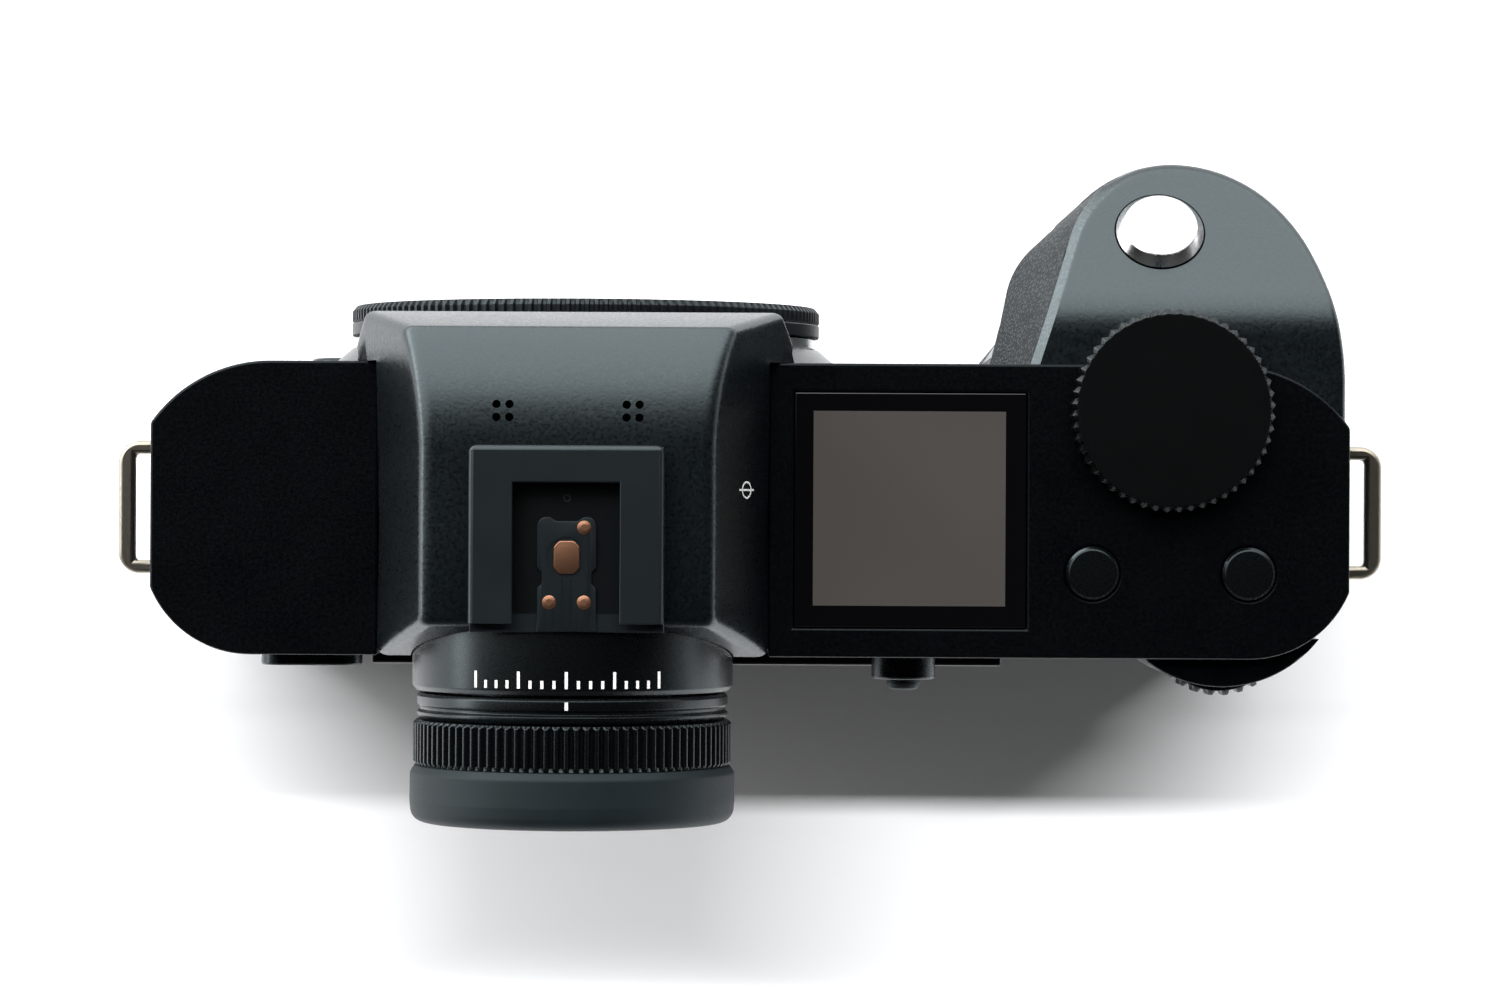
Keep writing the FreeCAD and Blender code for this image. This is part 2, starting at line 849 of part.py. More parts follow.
def top_display():
    """The status display: a glass on the window's ledge with its module hanging in the well."""
    centre = -size("display_centre")
    middle = size("display_offset")
    gap = seam / 2
    half_width = size("display_width") / 2 - gap
    half_length = size("display_length") / 2 - gap
    ledge = size("display_ledge") + gap
    glass_bottom = shoulder - size("display_glass_thickness") - gap
    glass_x = (centre - half_width, centre + half_width)
    glass_y = (middle - half_length, middle + half_length)
    glass = block("display_glass", glass_x, glass_y, (glass_bottom, shoulder - gap))
    module = block(
        "display_module", (centre - half_width + ledge, centre + half_width - ledge),
        (middle - half_length + ledge, middle + half_length - ledge),
        (glass_bottom - size("display_module_depth"), glass_bottom),
    )
    node("top_display", joined("display_whole", glass, module))


def notched_wheel(label, radius, teeth, tooth_depth, bottom, top, place, extra):
    """A wheel made as a body: a disc with V notches round its rim, and turned extras on its axis."""
    body = doc.addObject("PartDesign::Body", label + "_body")
    plane = [feature for feature in body.Origin.OriginFeatures if feature.Role == "XY_Plane"][0]
    rim = body.newObject("Sketcher::SketchObject", label + "_rim")
    rim.AttachmentSupport = [(plane, "")]
    rim.MapMode = "FlatFace"
    rim.addGeometry(Part.Circle(Vector(0, 0, 0), Vector(0, 0, 1), radius.value), False)
    rim.addConstraint(Sketcher.Constraint("Coincident", 0, 3, -1, 1))
    rim.addConstraint(Sketcher.Constraint("Radius", 0, radius.value))
    rim.setExpression("Constraints[1]", radius.formula)
    disc = body.newObject("PartDesign::Pad", label + "_disc")
    disc.Profile = rim
    bind(disc, "Length", top - bottom)
    notch = body.newObject("Sketcher::SketchObject", label + "_notch")
    notch.AttachmentSupport = [(plane, "")]
    notch.MapMode = "FlatFace"
    half = radius * 0.045
    draw(notch, [(radius - tooth_depth, 0), (radius + 0.3, -half), (radius + 0.3, half)])
    cut = body.newObject("PartDesign::Pocket", label + "_cut")
    cut.Profile = notch
    cut.Type = "ThroughAll"
    cut.Midplane = True
    pattern = body.newObject("PartDesign::PolarPattern", label + "_teeth")
    pattern.Originals = [cut]
    pattern.Axis = (rim, ["N_Axis"])
    pattern.Angle = 360
    pattern.Occurrences = int(teeth.value)
    pattern.setExpression("Occurrences", teeth.formula)
    body.Tip = pattern
    seat(body, (place[0], place[1], bottom))
    return node(label, joined(label + "_whole", body, *extra))


def top_dial():
    """The notched dial on the shoulder, its shaft kept by a washer."""
    x = -size("dial_x")
    y = -size("dial_y")
    bottom = shoulder + free_gap
    washer_top = shoulder - size("plate_wall") - seam
    shaft = rod("dial_shaft", "z", size("dial_shaft_radius"), (washer_top - 1, bottom), (x, y))
    washer = rod("dial_washer", "z", size("dial_washer_radius"), (washer_top - 1, washer_top), (x, y))
    notched_wheel(
        "top_dial", size("dial_radius"), size("dial_teeth"), size("dial_tooth_depth"),
        bottom, bottom + size("dial_height"), (x, y), (shaft, washer),
    )


def thumb_wheel():
    """The wheel under the shoulder's lip, on an axle that hangs from the plate."""
    x = -size("wheel_x")
    y = size("wheel_y")
    axle_z = (wheel_top, shoulder - size("plate_wall") - 0.5)
    axle = rod("wheel_axle", "z", size("wheel_axle_radius"), axle_z, (x, y))
    notched_wheel(
        "thumb_wheel", size("wheel_radius"), size("wheel_teeth"), size("wheel_tooth_depth"),
        wheel_bottom, wheel_top, (x, y), (axle,),
    )


# The viewfinder hump and the hot shoe


def hump_form(name, inset, low):
    """The hump's outside, drawn in by inset: a leaning section along Y, cut to the side profile."""
    inset = as_size(inset)
    level_low = parting - 1
    level_high = roof_z + 2

    def section(suffix, y, half_width, at_height, slope):
        low_half = half_width - slope * (level_low - at_height) - inset
        high_half = half_width - slope * (level_high - at_height) - inset
        low_corners = [(-low_half, level_low), (low_half, level_low)]
        high_corners = [(high_half, level_high), (-high_half, level_high)]
        return outline(name + suffix, "front", y, low_corners + high_corners)

    nose_reach = -size("hump_nose_reach") - 1
    nose_slope = size("hump_nose_slope")
    half = size("hump_half_width")
    slope = size("hump_flank_slope")
    leaning = skin(
        name + "_leaning",
        [
            section("_nose", nose_reach, size("hump_nose_half_width"), nose_z, nose_slope),
            section("_middle", -size("hump_roof_start"), half, shoulder, slope),
            section("_rear", back + 1, half, shoulder, slope),
        ],
    )
    roof = roof_z - inset
    brow_height = roof_z - size("hump_brow_drop") - inset / 2
    run = size("hump_brow_reach") - inset - size("hump_roof_start")
    drop = roof - brow_height
    roof_radius = (run * run + drop * drop) / (2 * drop)
    profile = [
        (front + inset, as_size(low)),
        (back - inset, as_size(low)),
        (back - inset, shoulder),
        (size("hump_roof_end") - inset, roof),
        (-size("hump_roof_start"), roof, LEFT, roof_radius),
        (inset - size("hump_brow_reach"), brow_height),
        (inset - size("hump_nose_reach"), nose_z + inset / 4),
        (front + inset, nose_foot + inset),
    ]
    side = prism(name + "_side", "side", profile, (-half * 2, half * 2))
    return shared(name + "_form", leaning, side)


def viewfinder_housing():
    """The hollow hump, cut for the eyepiece, the mount and the microphones."""
    outer = hump_form("hump", 0, parting)
    half = size("hump_half_width")
    cheeks = [
        block("hump_cheek_left", (half, far), (front, far), (0, far)),
        block("hump_cheek_right", (-far, -half), (front, far), (0, far)),
    ]
    wall = size("hump_wall")
    inner = shared(
        "hump_inside", hump_form("hump_hollow", wall, parting - 0.5),
        block("hump_hollow_reach", (wall - half, half - wall), (-far, far), (0, far)),
    )
    eye = (0, eye_z)
    barrel_y = (size("barrel_start") - seam, far)
    barrel = rod("hump_barrel_hole", "y", size("barrel_radius") + close_gap, barrel_y, eye)
    tube = rod("hump_tube_hole", "y", size("barrel_tube_radius") + close_gap, (0, far), eye)
    turret = rod("hump_turret_room", "y", size("turret_foot_radius") + seam, (-far, front), (0, axis_z))
    sleeve = rod("hump_sleeve_room", "y", size("mount_sleeve_radius") + free_gap, (-far, 0), (0, axis_z))
    pitch = size("microphone_pitch") / 2
    hole_z = (roof_z - size("hump_brow_drop"), far)
    holes = []
    for side in (-1, 1):
        for step_x in (-1, 1):
            for step_y in (-1, 1):
                x = size("microphone_offset") * side + pitch * step_x
                y = pitch * step_y - size("microphone_reach")
                name = "microphone_hole_%d" % len(holes)
                holes.append(rod(name, "z", size("microphone_radius"), hole_z, (x, y)))
    node("viewfinder_housing", less("hump_cut", outer, *cheeks, inner, barrel, tube, turret, sleeve, *holes))


def hot_shoe():
    """A block with the standard slot between two lips, open to the back, and the contact block in it.

    Gives the contacts that stand on the block, for the group of all contacts.
    """
    base = roof_z
    floor_top = base + size("shoe_floor")
    slot_top = floor_top + size("shoe_slot_height")
    top = slot_top + size("shoe_lip")
    half = size("shoe_width") / 2
    slot_half = size("shoe_slot_width") / 2
    throat_half = size("shoe_throat_width") / 2
    y = (-size("shoe_front"), size("shoe_back"))
    stop = -size("shoe_stop")
    whole = block("shoe_block", (-half, half), y, (base, top))
    slot = block("shoe_slot", (-slot_half, slot_half), (stop, far), (floor_top, slot_top))
    throat = block("shoe_throat", (-throat_half, throat_half), (stop, far), (floor_top, far))
    overhang = block("shoe_overhang", (-far, far), (size("hump_roof_end") - 0.4, far), (0, base + seam / 2))
    lip_end = block("shoe_lip_end", (-far, far), (size("shoe_lip_back"), far), (floor_top, far))
    barrel = barrel_clearance("shoe_barrel_room")
    node("hot_shoe", less("shoe_cut", whole, slot, throat, overhang, lip_end, barrel))
    contact_floor = floor_top + size("shoe_block_height")
    block_half = size("shoe_block_width") / 2
    block_y = (size("shoe_block_start"), size("shoe_back") - seam / 2)
    insert = block("shoe_contact_block", (-block_half, block_half), block_y, (floor_top, contact_floor))
    node("hot_shoe_contact_block", insert)
    contact_z = (contact_floor, contact_floor + size("shoe_contact_height"))
    main_y = size("shoe_main_contact_y")
    spread = size("shoe_contact_spread")
    places = [("main", size("shoe_main_contact_radius"), (0, main_y))]
    for name, x, y in (
        ("front", -spread, main_y - size("shoe_front_contact_step")),
        ("left", spread, main_y + size("shoe_rear_contact_step")),
        ("right", -spread, main_y + size("shoe_rear_contact_step")),
    ):
        places.append((name, size("shoe_small_contact_radius"), (x, y)))
    return [rod("shoe_contact_" + name, "z", radius, contact_z, place) for name, radius, place in places]


# The covers, the grip and the leather


def side_door_box(name, side, low, high, gap):
    """The room of a side door: its panel and the round edge about its hinge pin."""
    thickness = size("door_thickness")
    face = left - size("rear_inset") if side > 0 else right + size("rear_inset")
    reach = 3 * gap
    deep = face - (thickness + gap) if side > 0 else face - reach
    wide = face + reach if side > 0 else face + thickness + gap
    panel_y = (-size("door_front") - gap, size("door_pivot"))
    panel = block(name + "_panel", (deep, wide), panel_y, (low - gap, high + gap))
    pivot_x = face - side * thickness / 2
    edge = rod(name + "_edge", "z", thickness / 2 + gap, (low - gap, high + gap), (pivot_x, size("door_pivot")))
    pin_length = size("door_pin_length")
    pin_gap = snug if gap.value > 0 else as_size(0)
    pin_z = (low - pin_length - gap, high + pin_length + gap)
    pin = rod(name + "_pin", "z", size("door_pin_radius") + pin_gap, pin_z, (pivot_x, size("door_pivot")))
    if gap.value == 0:
        return joined(name, panel, edge, pin)
    outer = (face - side * thickness / 2, face + side * reach)
    swing_y = (size("door_pivot"), size("door_pivot") + thickness / 2 + gap)
    swing = block(name + "_swing", outer if side > 0 else outer[::-1], swing_y, (low - gap, high + gap))
    return joined(name, panel, edge, pin, swing)


doors = {
    "card_door": (-1, size("card_door_bottom"), size("card_door_top")),
    "port_door_lower": (1, size("lower_door_bottom"), size("lower_door_top")),
    "port_door_upper": (1, size("upper_door_bottom"), size("upper_door_top")),
}


def side_doors():
    """The three doors in the ends, each with its hinge pin."""
    for label, (side, low, high) in doors.items():
        node(label, side_door_box(label + "_body", side, low, high, as_size(0)))


def barrel_clearance(name):
    """Room for the eyepiece barrel in the pieces round it."""
    return rod(name, "y", size("barrel_radius") + seam, (size("barrel_start") - seam, far), (0, eye_z))


def rear_cover():
    """The back and both ends in one shell, with thick blocks behind the doors and a thumb rest."""
    outer = prism("rear_outer", "top", plan(size("rear_inset")), (floor, parting))
    thumb_z = (parting - size("thumb_drop"), parting)
    thumb = rod("rear_thumb", "z", size("thumb_radius"), thumb_z, (-size("wheel_x"), size("thumb_y")))
    thumb_side = block("rear_thumb_side", (-far, far), (rear_inner, far), (0, far))
    whole = joined("rear_whole", outer, shared("rear_thumb_part", thumb, thumb_side))
    inner = prism("rear_inner", "top", plan(inner_inset), (floor - 1, parting + 1))
    ahead = block("rear_ahead", (-far, far), (-far, split), (0, far))
    shell = less("rear_shell", whole, inner, ahead)
    depth = size("end_block_depth")
    end_back = size("door_pivot") + size("door_thickness")
    wall = size("cover_wall")
    margin = size("end_block_margin")
    card_block = block(
        "card_end_block", (right + wall, right + depth), (wall - size("door_front"), end_back),
        (size("card_door_bottom") - margin, size("card_door_top") + margin),
    )
    port_block = block(
        "port_end_block", (left - depth, left - wall), (-size("door_front") - wall / 2, end_back),
        (size("lower_door_bottom") - margin, size("upper_door_top") + margin),
    )
    shell = joined("rear_blocks", shell, card_block, port_block)
    rim = size("bay_margin")
    bay_y = (rim - size("door_front"), size("door_pivot") - rim)
    rooms = []
    for label, (side, low, high) in doors.items():
        rooms.append(side_door_box(label + "_room", side, low, high, close_gap))
        x = (left - depth - 1, left + 1) if side > 0 else (right - 1, right + depth + 1)
        rooms.append(block(label + "_bay", x, bay_y, (low + rim, high - rim)))
    screen_x = (-size("screen_right") - close_gap, size("screen_left") + close_gap)
    screen_z = (size("screen_bottom") - close_gap, screen_top + close_gap)
    screen = block("screen_window", screen_x, (rear_inner - 1, far), screen_z)
    holes = []
    for label, radius, x, height in rear_buttons():
        holes.append(button_hole(label + "_hole", "y", radius, (x, rear_face, height), size("cover_wall") * 2))
    lever = (size("lever_x"), lever_z)
    stick = (-size("stick_x"), stick_z)
    holes.append(rod("lever_hole", "y", size("lever_shaft_radius") + snug, (0, far), lever))
    holes.append(rod("stick_hole", "y", size("stick_bore_radius"), (0, far), stick))
    barrel = barrel_clearance("rear_barrel_hole")
    node("rear_cover", less("rear_cut", shell, *rooms, screen, barrel, *holes))


def rear_buttons():
    """The push buttons of the back: label, radius, X and height."""
    low = size("rear_button_low")
    pitch = size("rear_button_pitch")
    column = [
        (label, size("rear_button_radius"), -size("rear_button_x"), low + pitch * step)
        for step, label in enumerate(("rear_button_lower", "rear_button_middle", "rear_button_upper"))
    ]
    eye_button_z = parting - size("eye_button_drop")
    return column + [("eyepiece_button", size("eye_button_radius"), -size("eye_button_x"), eye_button_z)]


def front_buttons():
    """The push buttons of the front: label, radius, X and height."""
    radius = size("front_button_radius")
    x = -size("front_button_x")
    rise = size("front_button_rise")
    return [
        ("front_button_upper", radius, x, axis_z + rise),
        ("front_button_lower", radius, x, axis_z - rise),
        ("lens_release_button", size("release_radius"), size("release_x"), release_z),
    ]


def front_holes(prefix):
    """The bores of the front's push buttons."""
    return [
        button_hole(prefix + label, "-y", radius, (x, leather_face, height), 6)
        for label, radius, x, height in front_buttons()
    ]


def battery_room(name):
    """The battery's room, open through the base."""
    gap = size("battery_gap")
    half = size("battery_width") / 2 + gap
    x = (-size("battery_x") - half, half - size("battery_x"))
    start = -size("battery_front")
    y = (start - gap, start + size("battery_thickness") + gap)
    return block(name, x, y, (-1, size("battery_height") + size("battery_recess") + gap))


def front_cover():
    """The front wall with the core of the grip, open for the mount and for the battery."""
    wall = prism("front_wall", "top", plan(size("front_inset")), (floor, parting))
    core = prism("grip_core", "top", grip_plan(size("grip_leather_thickness")), (floor, parting))
    whole = joined("front_whole", wall, core)
    behind = block("front_behind", (-far, far), (split, far), (0, far))
    inner = prism("front_inner", "top", plan(inner_inset), (floor - 1, parting + 1))
    mount = rod("front_mount_hole", "y", size("mount_sleeve_radius") + free_gap, (-far, 0), (0, axis_z))
    room = battery_room("front_battery_room")
    node("front_cover", less("front_cut", whole, behind, inner, mount, room, *front_holes("front_hole_")))


def front_leather():
    """The leather on the front, left and right of the mount, ending at the grip and at the split."""
    proud = plan(size("front_inset") - size("leather_thickness"))
    outer = prism("leather_outer", "top", proud, (floor + seam, parting - seam))
    inner = prism("leather_inner", "top", plan(size("front_inset")), (floor, parting))
    behind = block("leather_behind", (-far, far), (split, far), (0, far))
    turret = rod("leather_turret", "y", size("turret_foot_radius") + seam, (-far, 0), (0, axis_z))
    grip = prism("leather_grip", "top", grip_plan(-seam), (0, parting + 1))
    grip_side = block("leather_grip_side", (-far, -size("grip_root_x") + seam), (-far, 0), (0, far))
    return less("leather_cut", outer, inner, behind, turret, grip, grip_side, *front_holes("leather_hole_"))


def grip_leather():
    """The leather round the grip, and up its finger side to the lip of the smooth top."""
    thickness = size("grip_leather_thickness")
    outer = prism("grip_leather_outer", "top", grip_plan(0), (floor + seam, parting - seam))
    collar = prism("grip_leather_collar", "top", grip_plan(0), (parting - 1, parting))
    collar_side = finger_side("grip_leather_collar_side")
    inner = prism("grip_leather_inner", "top", grip_plan(thickness), (floor, parting))
    body = prism("grip_leather_body", "top", plan(size("front_inset")), (floor, parting))
    whole = joined("grip_leather_whole", outer, shared("grip_leather_collar_part", collar, collar_side))
    ring = less("grip_leather_cut", whole, inner, body)
    return joined("grip_leather_all", ring, finger_leather("grip_flap"))


def leather_covering():
    """The two pieces of leather, as one node."""
    node("leather_covering", group("leather_set", [front_leather(), grip_leather()]))


def finger_side(name):
    """The room beside the grip where the leather goes up: from the body to the start of the nose."""
    x = (-size("grip_nose_x") + size("grip_nose_radius") / 2, -size("grip_root_x") + 1)
    return block(name, x, (-size("grip_leather_reach"), front - seam), (0, far))


def finger_leather(name):
    """The leather on the finger side of the grip's top, between its outside and the same drawn in."""
    outer = grip_top_form(name, 0, size("grip_lip"))
    core = grip_sides(name + "_core", size("grip_leather_thickness"))
    return less(name, shared(name + "_part", outer, finger_side(name + "_side")), core)


shutter_place = (-size("shutter_x"), -size("shutter_y"))
tilt = size("grip_tilt")
slope_drop = sine(tilt) / cosine(tilt)
shutter_z = grip_top - (size("shutter_y") - size("grip_break")) * slope_drop
shutter_turn = Rotation(Vector(1, 0, 0), SIZES["grip_tilt"])


def along_button(distance):
    """The point at a distance up the shutter button's own axis."""
    return (shutter_place[0], shutter_place[1] - sine(tilt) * distance, shutter_z + cosine(tilt) * distance)


def tilted_rod(name, radius, low, high):
    """A cylinder on the shutter button's axis, between two distances along it."""
    cylinder = doc.addObject("Part::Cylinder", name)
    bind(cylinder, "Radius", radius)
    bind(cylinder, "Height", as_size(high) - low)
    return seat(cylinder, along_button(as_size(low)), shutter_turn)


def grip_sides(name, drawn):
    """The sides of the grip's top, its finger side leaning to the crest and drawn in by a thickness."""
    crest = size("grip_crest_x") - size("grip_root_x")
    return skin(
        name,
        [
            outline(name + "_foot", "top", parting, grip_plan(0, drawn)),
            outline(name + "_crest", "top", grip_top + 0.5, grip_plan(free_gap, crest + drawn)),
        ],
    )


def grip_top_form(name, drawn, lowered):
    """The form of the grip's top: level behind, sloping down in front, its upper face lowered."""
    top = grip_top - lowered
    reach = size("grip_break_radius") * sine(tilt / 2) / cosine(tilt / 2)
    break_y = -size("grip_break")
    tip_y = -size("grip_nose_y") - size("grip_nose_radius") * 1.2
    profile = [
        (tip_y, parting - 1),
        (0, parting - 1),
        (0, top),
        (break_y + reach, top, LEFT, size("grip_break_radius")),
        (break_y - reach * cosine(tilt), top - reach * sine(tilt)),
        (tip_y, top - (break_y - tip_y) * slope_drop),
    ]
    span = (-size("grip_outer_x") - 5, -size("grip_root_x") + 5)
    below = prism(name + "_below", "side", profile, span)
    return shared(name + "_form", grip_sides(name + "_sides", drawn), below)


def grip_cover():
    """The smooth top of the grip with the shutter button's recess, cut back for the leather."""
    solid = grip_top_form("grip_cover", 0, 0)
    body = prism("grip_cover_body", "top", plan(-seam), (parting - 1, far))
    behind = block("grip_cover_behind", (-far, far), (split, far), (0, far))
    pocket_x = (-size("grip_pocket_right"), -size("grip_pocket_left"))
    pocket_z = (parting - 1, parting + size("grip_pocket_height"))
    pocket = block("grip_cover_pocket", pocket_x, (-size("grip_pocket_reach"), 0), pocket_z)
    recess_radius = size("shutter_base_radius") + seam
    recess = tilted_rod("shutter_recess_room", recess_radius, -size("shutter_recess"), size("grip_rise"))
    bore = tilted_rod("shutter_bore", size("shutter_stem_radius") + snug, -size("shutter_bore_depth"), 1)
    leather = finger_leather("grip_cover_leather")
    node("grip_cover", less("grip_cover_cut", solid, body, behind, pocket, recess, bore, leather))


def shutter_button():
    """The release: a stem, a coned ring and a dished top, on the grip's slope."""
    stem = size("shutter_stem_radius")
    base = size("shutter_base_radius")
    top = size("shutter_top_radius")
    height = size("shutter_head_height")
    skirt = -size("shutter_skirt")
    profile = [
        (0, -size("shutter_stem_length")),
        (stem, -size("shutter_stem_length")),
        (stem, skirt),
        (base, skirt),
        (base, size("shutter_band")),
        (top, height),
        (top - size("shutter_rim_width"), height + size("shutter_rim_rise")),
        (0, height - size("shutter_dish")),
    ]
    node("shutter_button", turned("shutter_button_turned", profile, along_button(as_size(0)), shutter_turn))


def base_plate():
    """The bottom of the camera, open for the battery, the tripod bush, the lever and the screws."""
    body = prism("base_body", "top", plan(0), (0, floor))
    grip = prism("base_grip", "top", grip_plan(0), (0, floor))
    whole = joined("base_whole", body, grip)
    room = battery_room("base_battery_room")
    bush = rod("base_bush_hole", "z", size("bush_radius") + snug, (-1, floor + 1), (0, 0))
    pivot = (-size("battery_lever_x"), size("battery_lever_y"))
    recess_z = (-1, size("battery_lever_thickness") + 2 * free_gap)
    recess_disc = rod("base_lever_disc", "z", size("battery_lever_reach") + 2 * free_gap, recess_z, pivot)
    recess_start = pivot[0] - size("battery_lever_hub") - 2 * free_gap
    recess_half = block("base_lever_half", (recess_start, far), (-far, far), (-1, far))
    recess = shared("base_lever_recess", recess_disc, recess_half)
    shaft = rod("base_lever_shaft_hole", "z", size("battery_lever_shaft_radius") + snug, (-1, floor + 1), pivot)
    holes = [
        rod("base_screw_hole_%d" % index, "z", size("screw_head_radius") + snug, (-1, floor + 1), place)
        for index, place in enumerate(base_screw_places())
    ]
    node("base_plate", less("base_cut", whole, room, bush, recess, shaft, *holes))


def base_screw_places():
    """Three screws near the ends and three between them."""
    end = size("base_screw_end")
    side = size("base_screw_side")
    middle = size("base_screw_middle")
    middle_side = size("base_screw_middle_side")
    return [
        (left - end, front + side),
        (left - end, back - side),
        (-middle, front + middle_side),
        (-middle, back - middle_side),
        (right + end, back - side),
        (left - middle, back - middle_side),
    ]


def screw(name, direction, place, length):
    """A screw whose slotted head is flush with the face that place lies on."""
    shank = doc.addObject("Part::Cylinder", name + "_shank")
    bind(shank, "Radius", size("screw_head_radius"))
    bind(shank, "Height", length)
    outward = {"-z": (0, 0, -1), "-y": (0, -1, 0)}[direction]
    start = [as_size(amount) - way * as_size(length) for amount, way in zip(place, outward)]
    seat(shank, start, FACING[direction])
    slot = doc.addObject("Part::Box", name + "_slot")
    bind(slot, "Length", size("screw_slot"))
    bind(slot, "Width", size("screw_head_radius") * 2.2)
    bind(slot, "Height", 2)
    turn = FACING[direction]
    wide = SIZES["screw_slot"]
    moved = turn.multVec(Vector(-wide / 2, -SIZES["screw_head_radius"] * 1.1, -wide))
    seat(slot, [as_size(amount) + shift for amount, shift in zip(place, (moved.x, moved.y, moved.z))], turn)
    return less(name, shank, slot)


def mount_screw_places():
    """Four screws in the flange, between its bore and its rim."""
    radius = (size("flange_radius") + size("throat_radius")) / 2
    places = []
    for angle in (45, 135, 225, 315):
        turn = math.radians(angle)
        places.append((radius * math.cos(turn), flange_y + 0.05, axis_z + radius * math.sin(turn)))
    return places


def screws():
    """The slotted screws of the base plate and of the mount ring."""
    sink = size("base_screw_sink")
    length = size("mount_screw_length")
    made = []
    for index, (x, y) in enumerate(base_screw_places()):
        made.append(screw("base_screw_%d" % index, "-z", (x, y, sink), floor - sink))
    for index, place in enumerate(mount_screw_places()):
        made.append(screw("mount_screw_%d" % index, "-y", place, length))
    node("slotted_screws", group("screw_set", made))


# The lens mount and the body cap


def sector(name, inner, outer, span, centre_angle, angle):
    """Part of a ring about the optical axis, between two radii and two Y planes."""
    inner = as_size(inner)
    outer = as_size(outer)
    start = centre_angle - angle.value / 2
    ring = doc.addObject("Part::Cylinder", name + "_wedge")
    bind(ring, "Radius", outer)
    bind(ring, "Height", as_size(span[1]) - span[0])
    bind(ring, "Angle", angle)
    turn = Rotation(Vector(0, 1, 0), -start).multiply(Rotation(Vector(1, 0, 0), -90))
    turn = turn.multiply(Rotation(Vector(0, 0, 1), -angle.value))
    seat(ring, (0, span[0], axis_z), turn)
    middle = rod(name + "_middle", "y", inner, (as_size(span[0]) - 1, as_size(span[1]) + 1), (0, axis_z))
    return less(name, ring, middle)


def mount_turret():
    """The tapered black ring between the front and the bright flange."""
    radii = (size("turret_top_radius"), size("turret_foot_radius"))
    cone = taper("turret_cone", "y", radii, (turret_y, front), (0, axis_z))
    foot = rod("turret_foot", "y", size("turret_foot_radius"), (front, front_face), (0, axis_z))
    low = top_half("turret_low", 0, parting - seam)
    bore = rod("turret_bore", "y", size("turret_bore_radius"), (-far, far), (0, axis_z))
    whole = joined("turret_whole", cone, shared("turret_foot_low", foot, low))
    node("mount_turret", less("turret_cut", whole, bore))


def mount_ring():
    """The bright bayonet ring: a flange, a sleeve down to the chassis and three claws."""
    face = flange_y
    flange = rod("mount_flange", "y", size("flange_radius"), (face, turret_y), (0, axis_z))
    sleeve_radius = size("mount_sleeve_radius")
    sleeve = rod("mount_sleeve", "y", sleeve_radius, (turret_y - 0.5, front_inner), (0, axis_z))
    throat = rod("mount_throat", "y", size("throat_radius"), (-far, far), (0, axis_z))
    ring = less("mount_ring_body", joined("mount_ring_whole", flange, sleeve), throat)
    claw_y = (face + 0.4, face + 0.4 + size("claw_thickness"))
    inner = size("claw_inner_radius")
    outer = size("throat_radius") + 0.4
    angle = size("claw_angle")
    claws = [sector("claw_%d" % index, inner, outer, claw_y, 90 + 120 * index, angle) for index in range(3)]
    pin_x, pin_z = lock_pin_place()
    pin = rod("lock_pin_hole", "y", size("lock_pin_radius") + snug, (-far, far), (pin_x, pin_z))
    pockets = [
        rod(
            "mount_screw_hole_%d" % index, "y", size("screw_head_radius") + snug,
            (-far, place[1] + size("mount_screw_length")), (place[0], place[2]),
        )
        for index, place in enumerate(mount_screw_places())
    ]
    node("mount_ring", less("mount_ring_cut", joined("mount_ring_clawed", ring, *claws), pin, *pockets))


def lock_pin_place():
    """The lock pin lies on the line from the optical axis to the lens release button."""
    reach = size("release_x")
    drop = -size("release_drop")
    length = root(reach * reach + drop * drop)
    return (size("lock_pin_circle") * reach / length, axis_z + size("lock_pin_circle") * drop / length)


def lens_lock_pin():
    """The pin that stands out of the flange and locks a lens."""
    start = flange_y - size("lock_pin_proud")
    span = (start, start + size("lock_pin_length"))
    node("lens_lock_pin", rod("lock_pin", "y", size("lock_pin_radius"), span, lock_pin_place()))


def mount_contacts():
    """The contact block low in the throat; gives the pins that stand on it."""
    inner = size("contact_block_inner_radius")
    outer = size("throat_radius") - close_gap
    start = flange_y + size("contact_block_depth")
    y = (start, start + size("contact_block_thickness"))
    node("mount_contact_block", sector("contact_block", inner, outer, y, 270, size("contact_block_angle")))
    radius = (inner + outer) / 2
    pin_radius = size("contact_pin_radius")
    pin_y = (y[0] - size("contact_pin_length"), y[0])
    pins = []
    count = int(SIZES["contact_pin_count"])
    for index in range(count):
        angle = 270 + SIZES["contact_block_angle"] * (index + 0.5 - count / 2) / count
        turn = math.radians(angle)
        place = (radius * math.cos(turn), axis_z + radius * math.sin(turn))
        pins.append(rod("contact_pin_%d" % index, "y", pin_radius, pin_y, place))
    return pins


def electrical_contacts():
    """The two contact blocks, and their copper contacts as one node."""
    contacts = hot_shoe() + mount_contacts()
    node("electrical_contacts", group("contact_set", contacts))


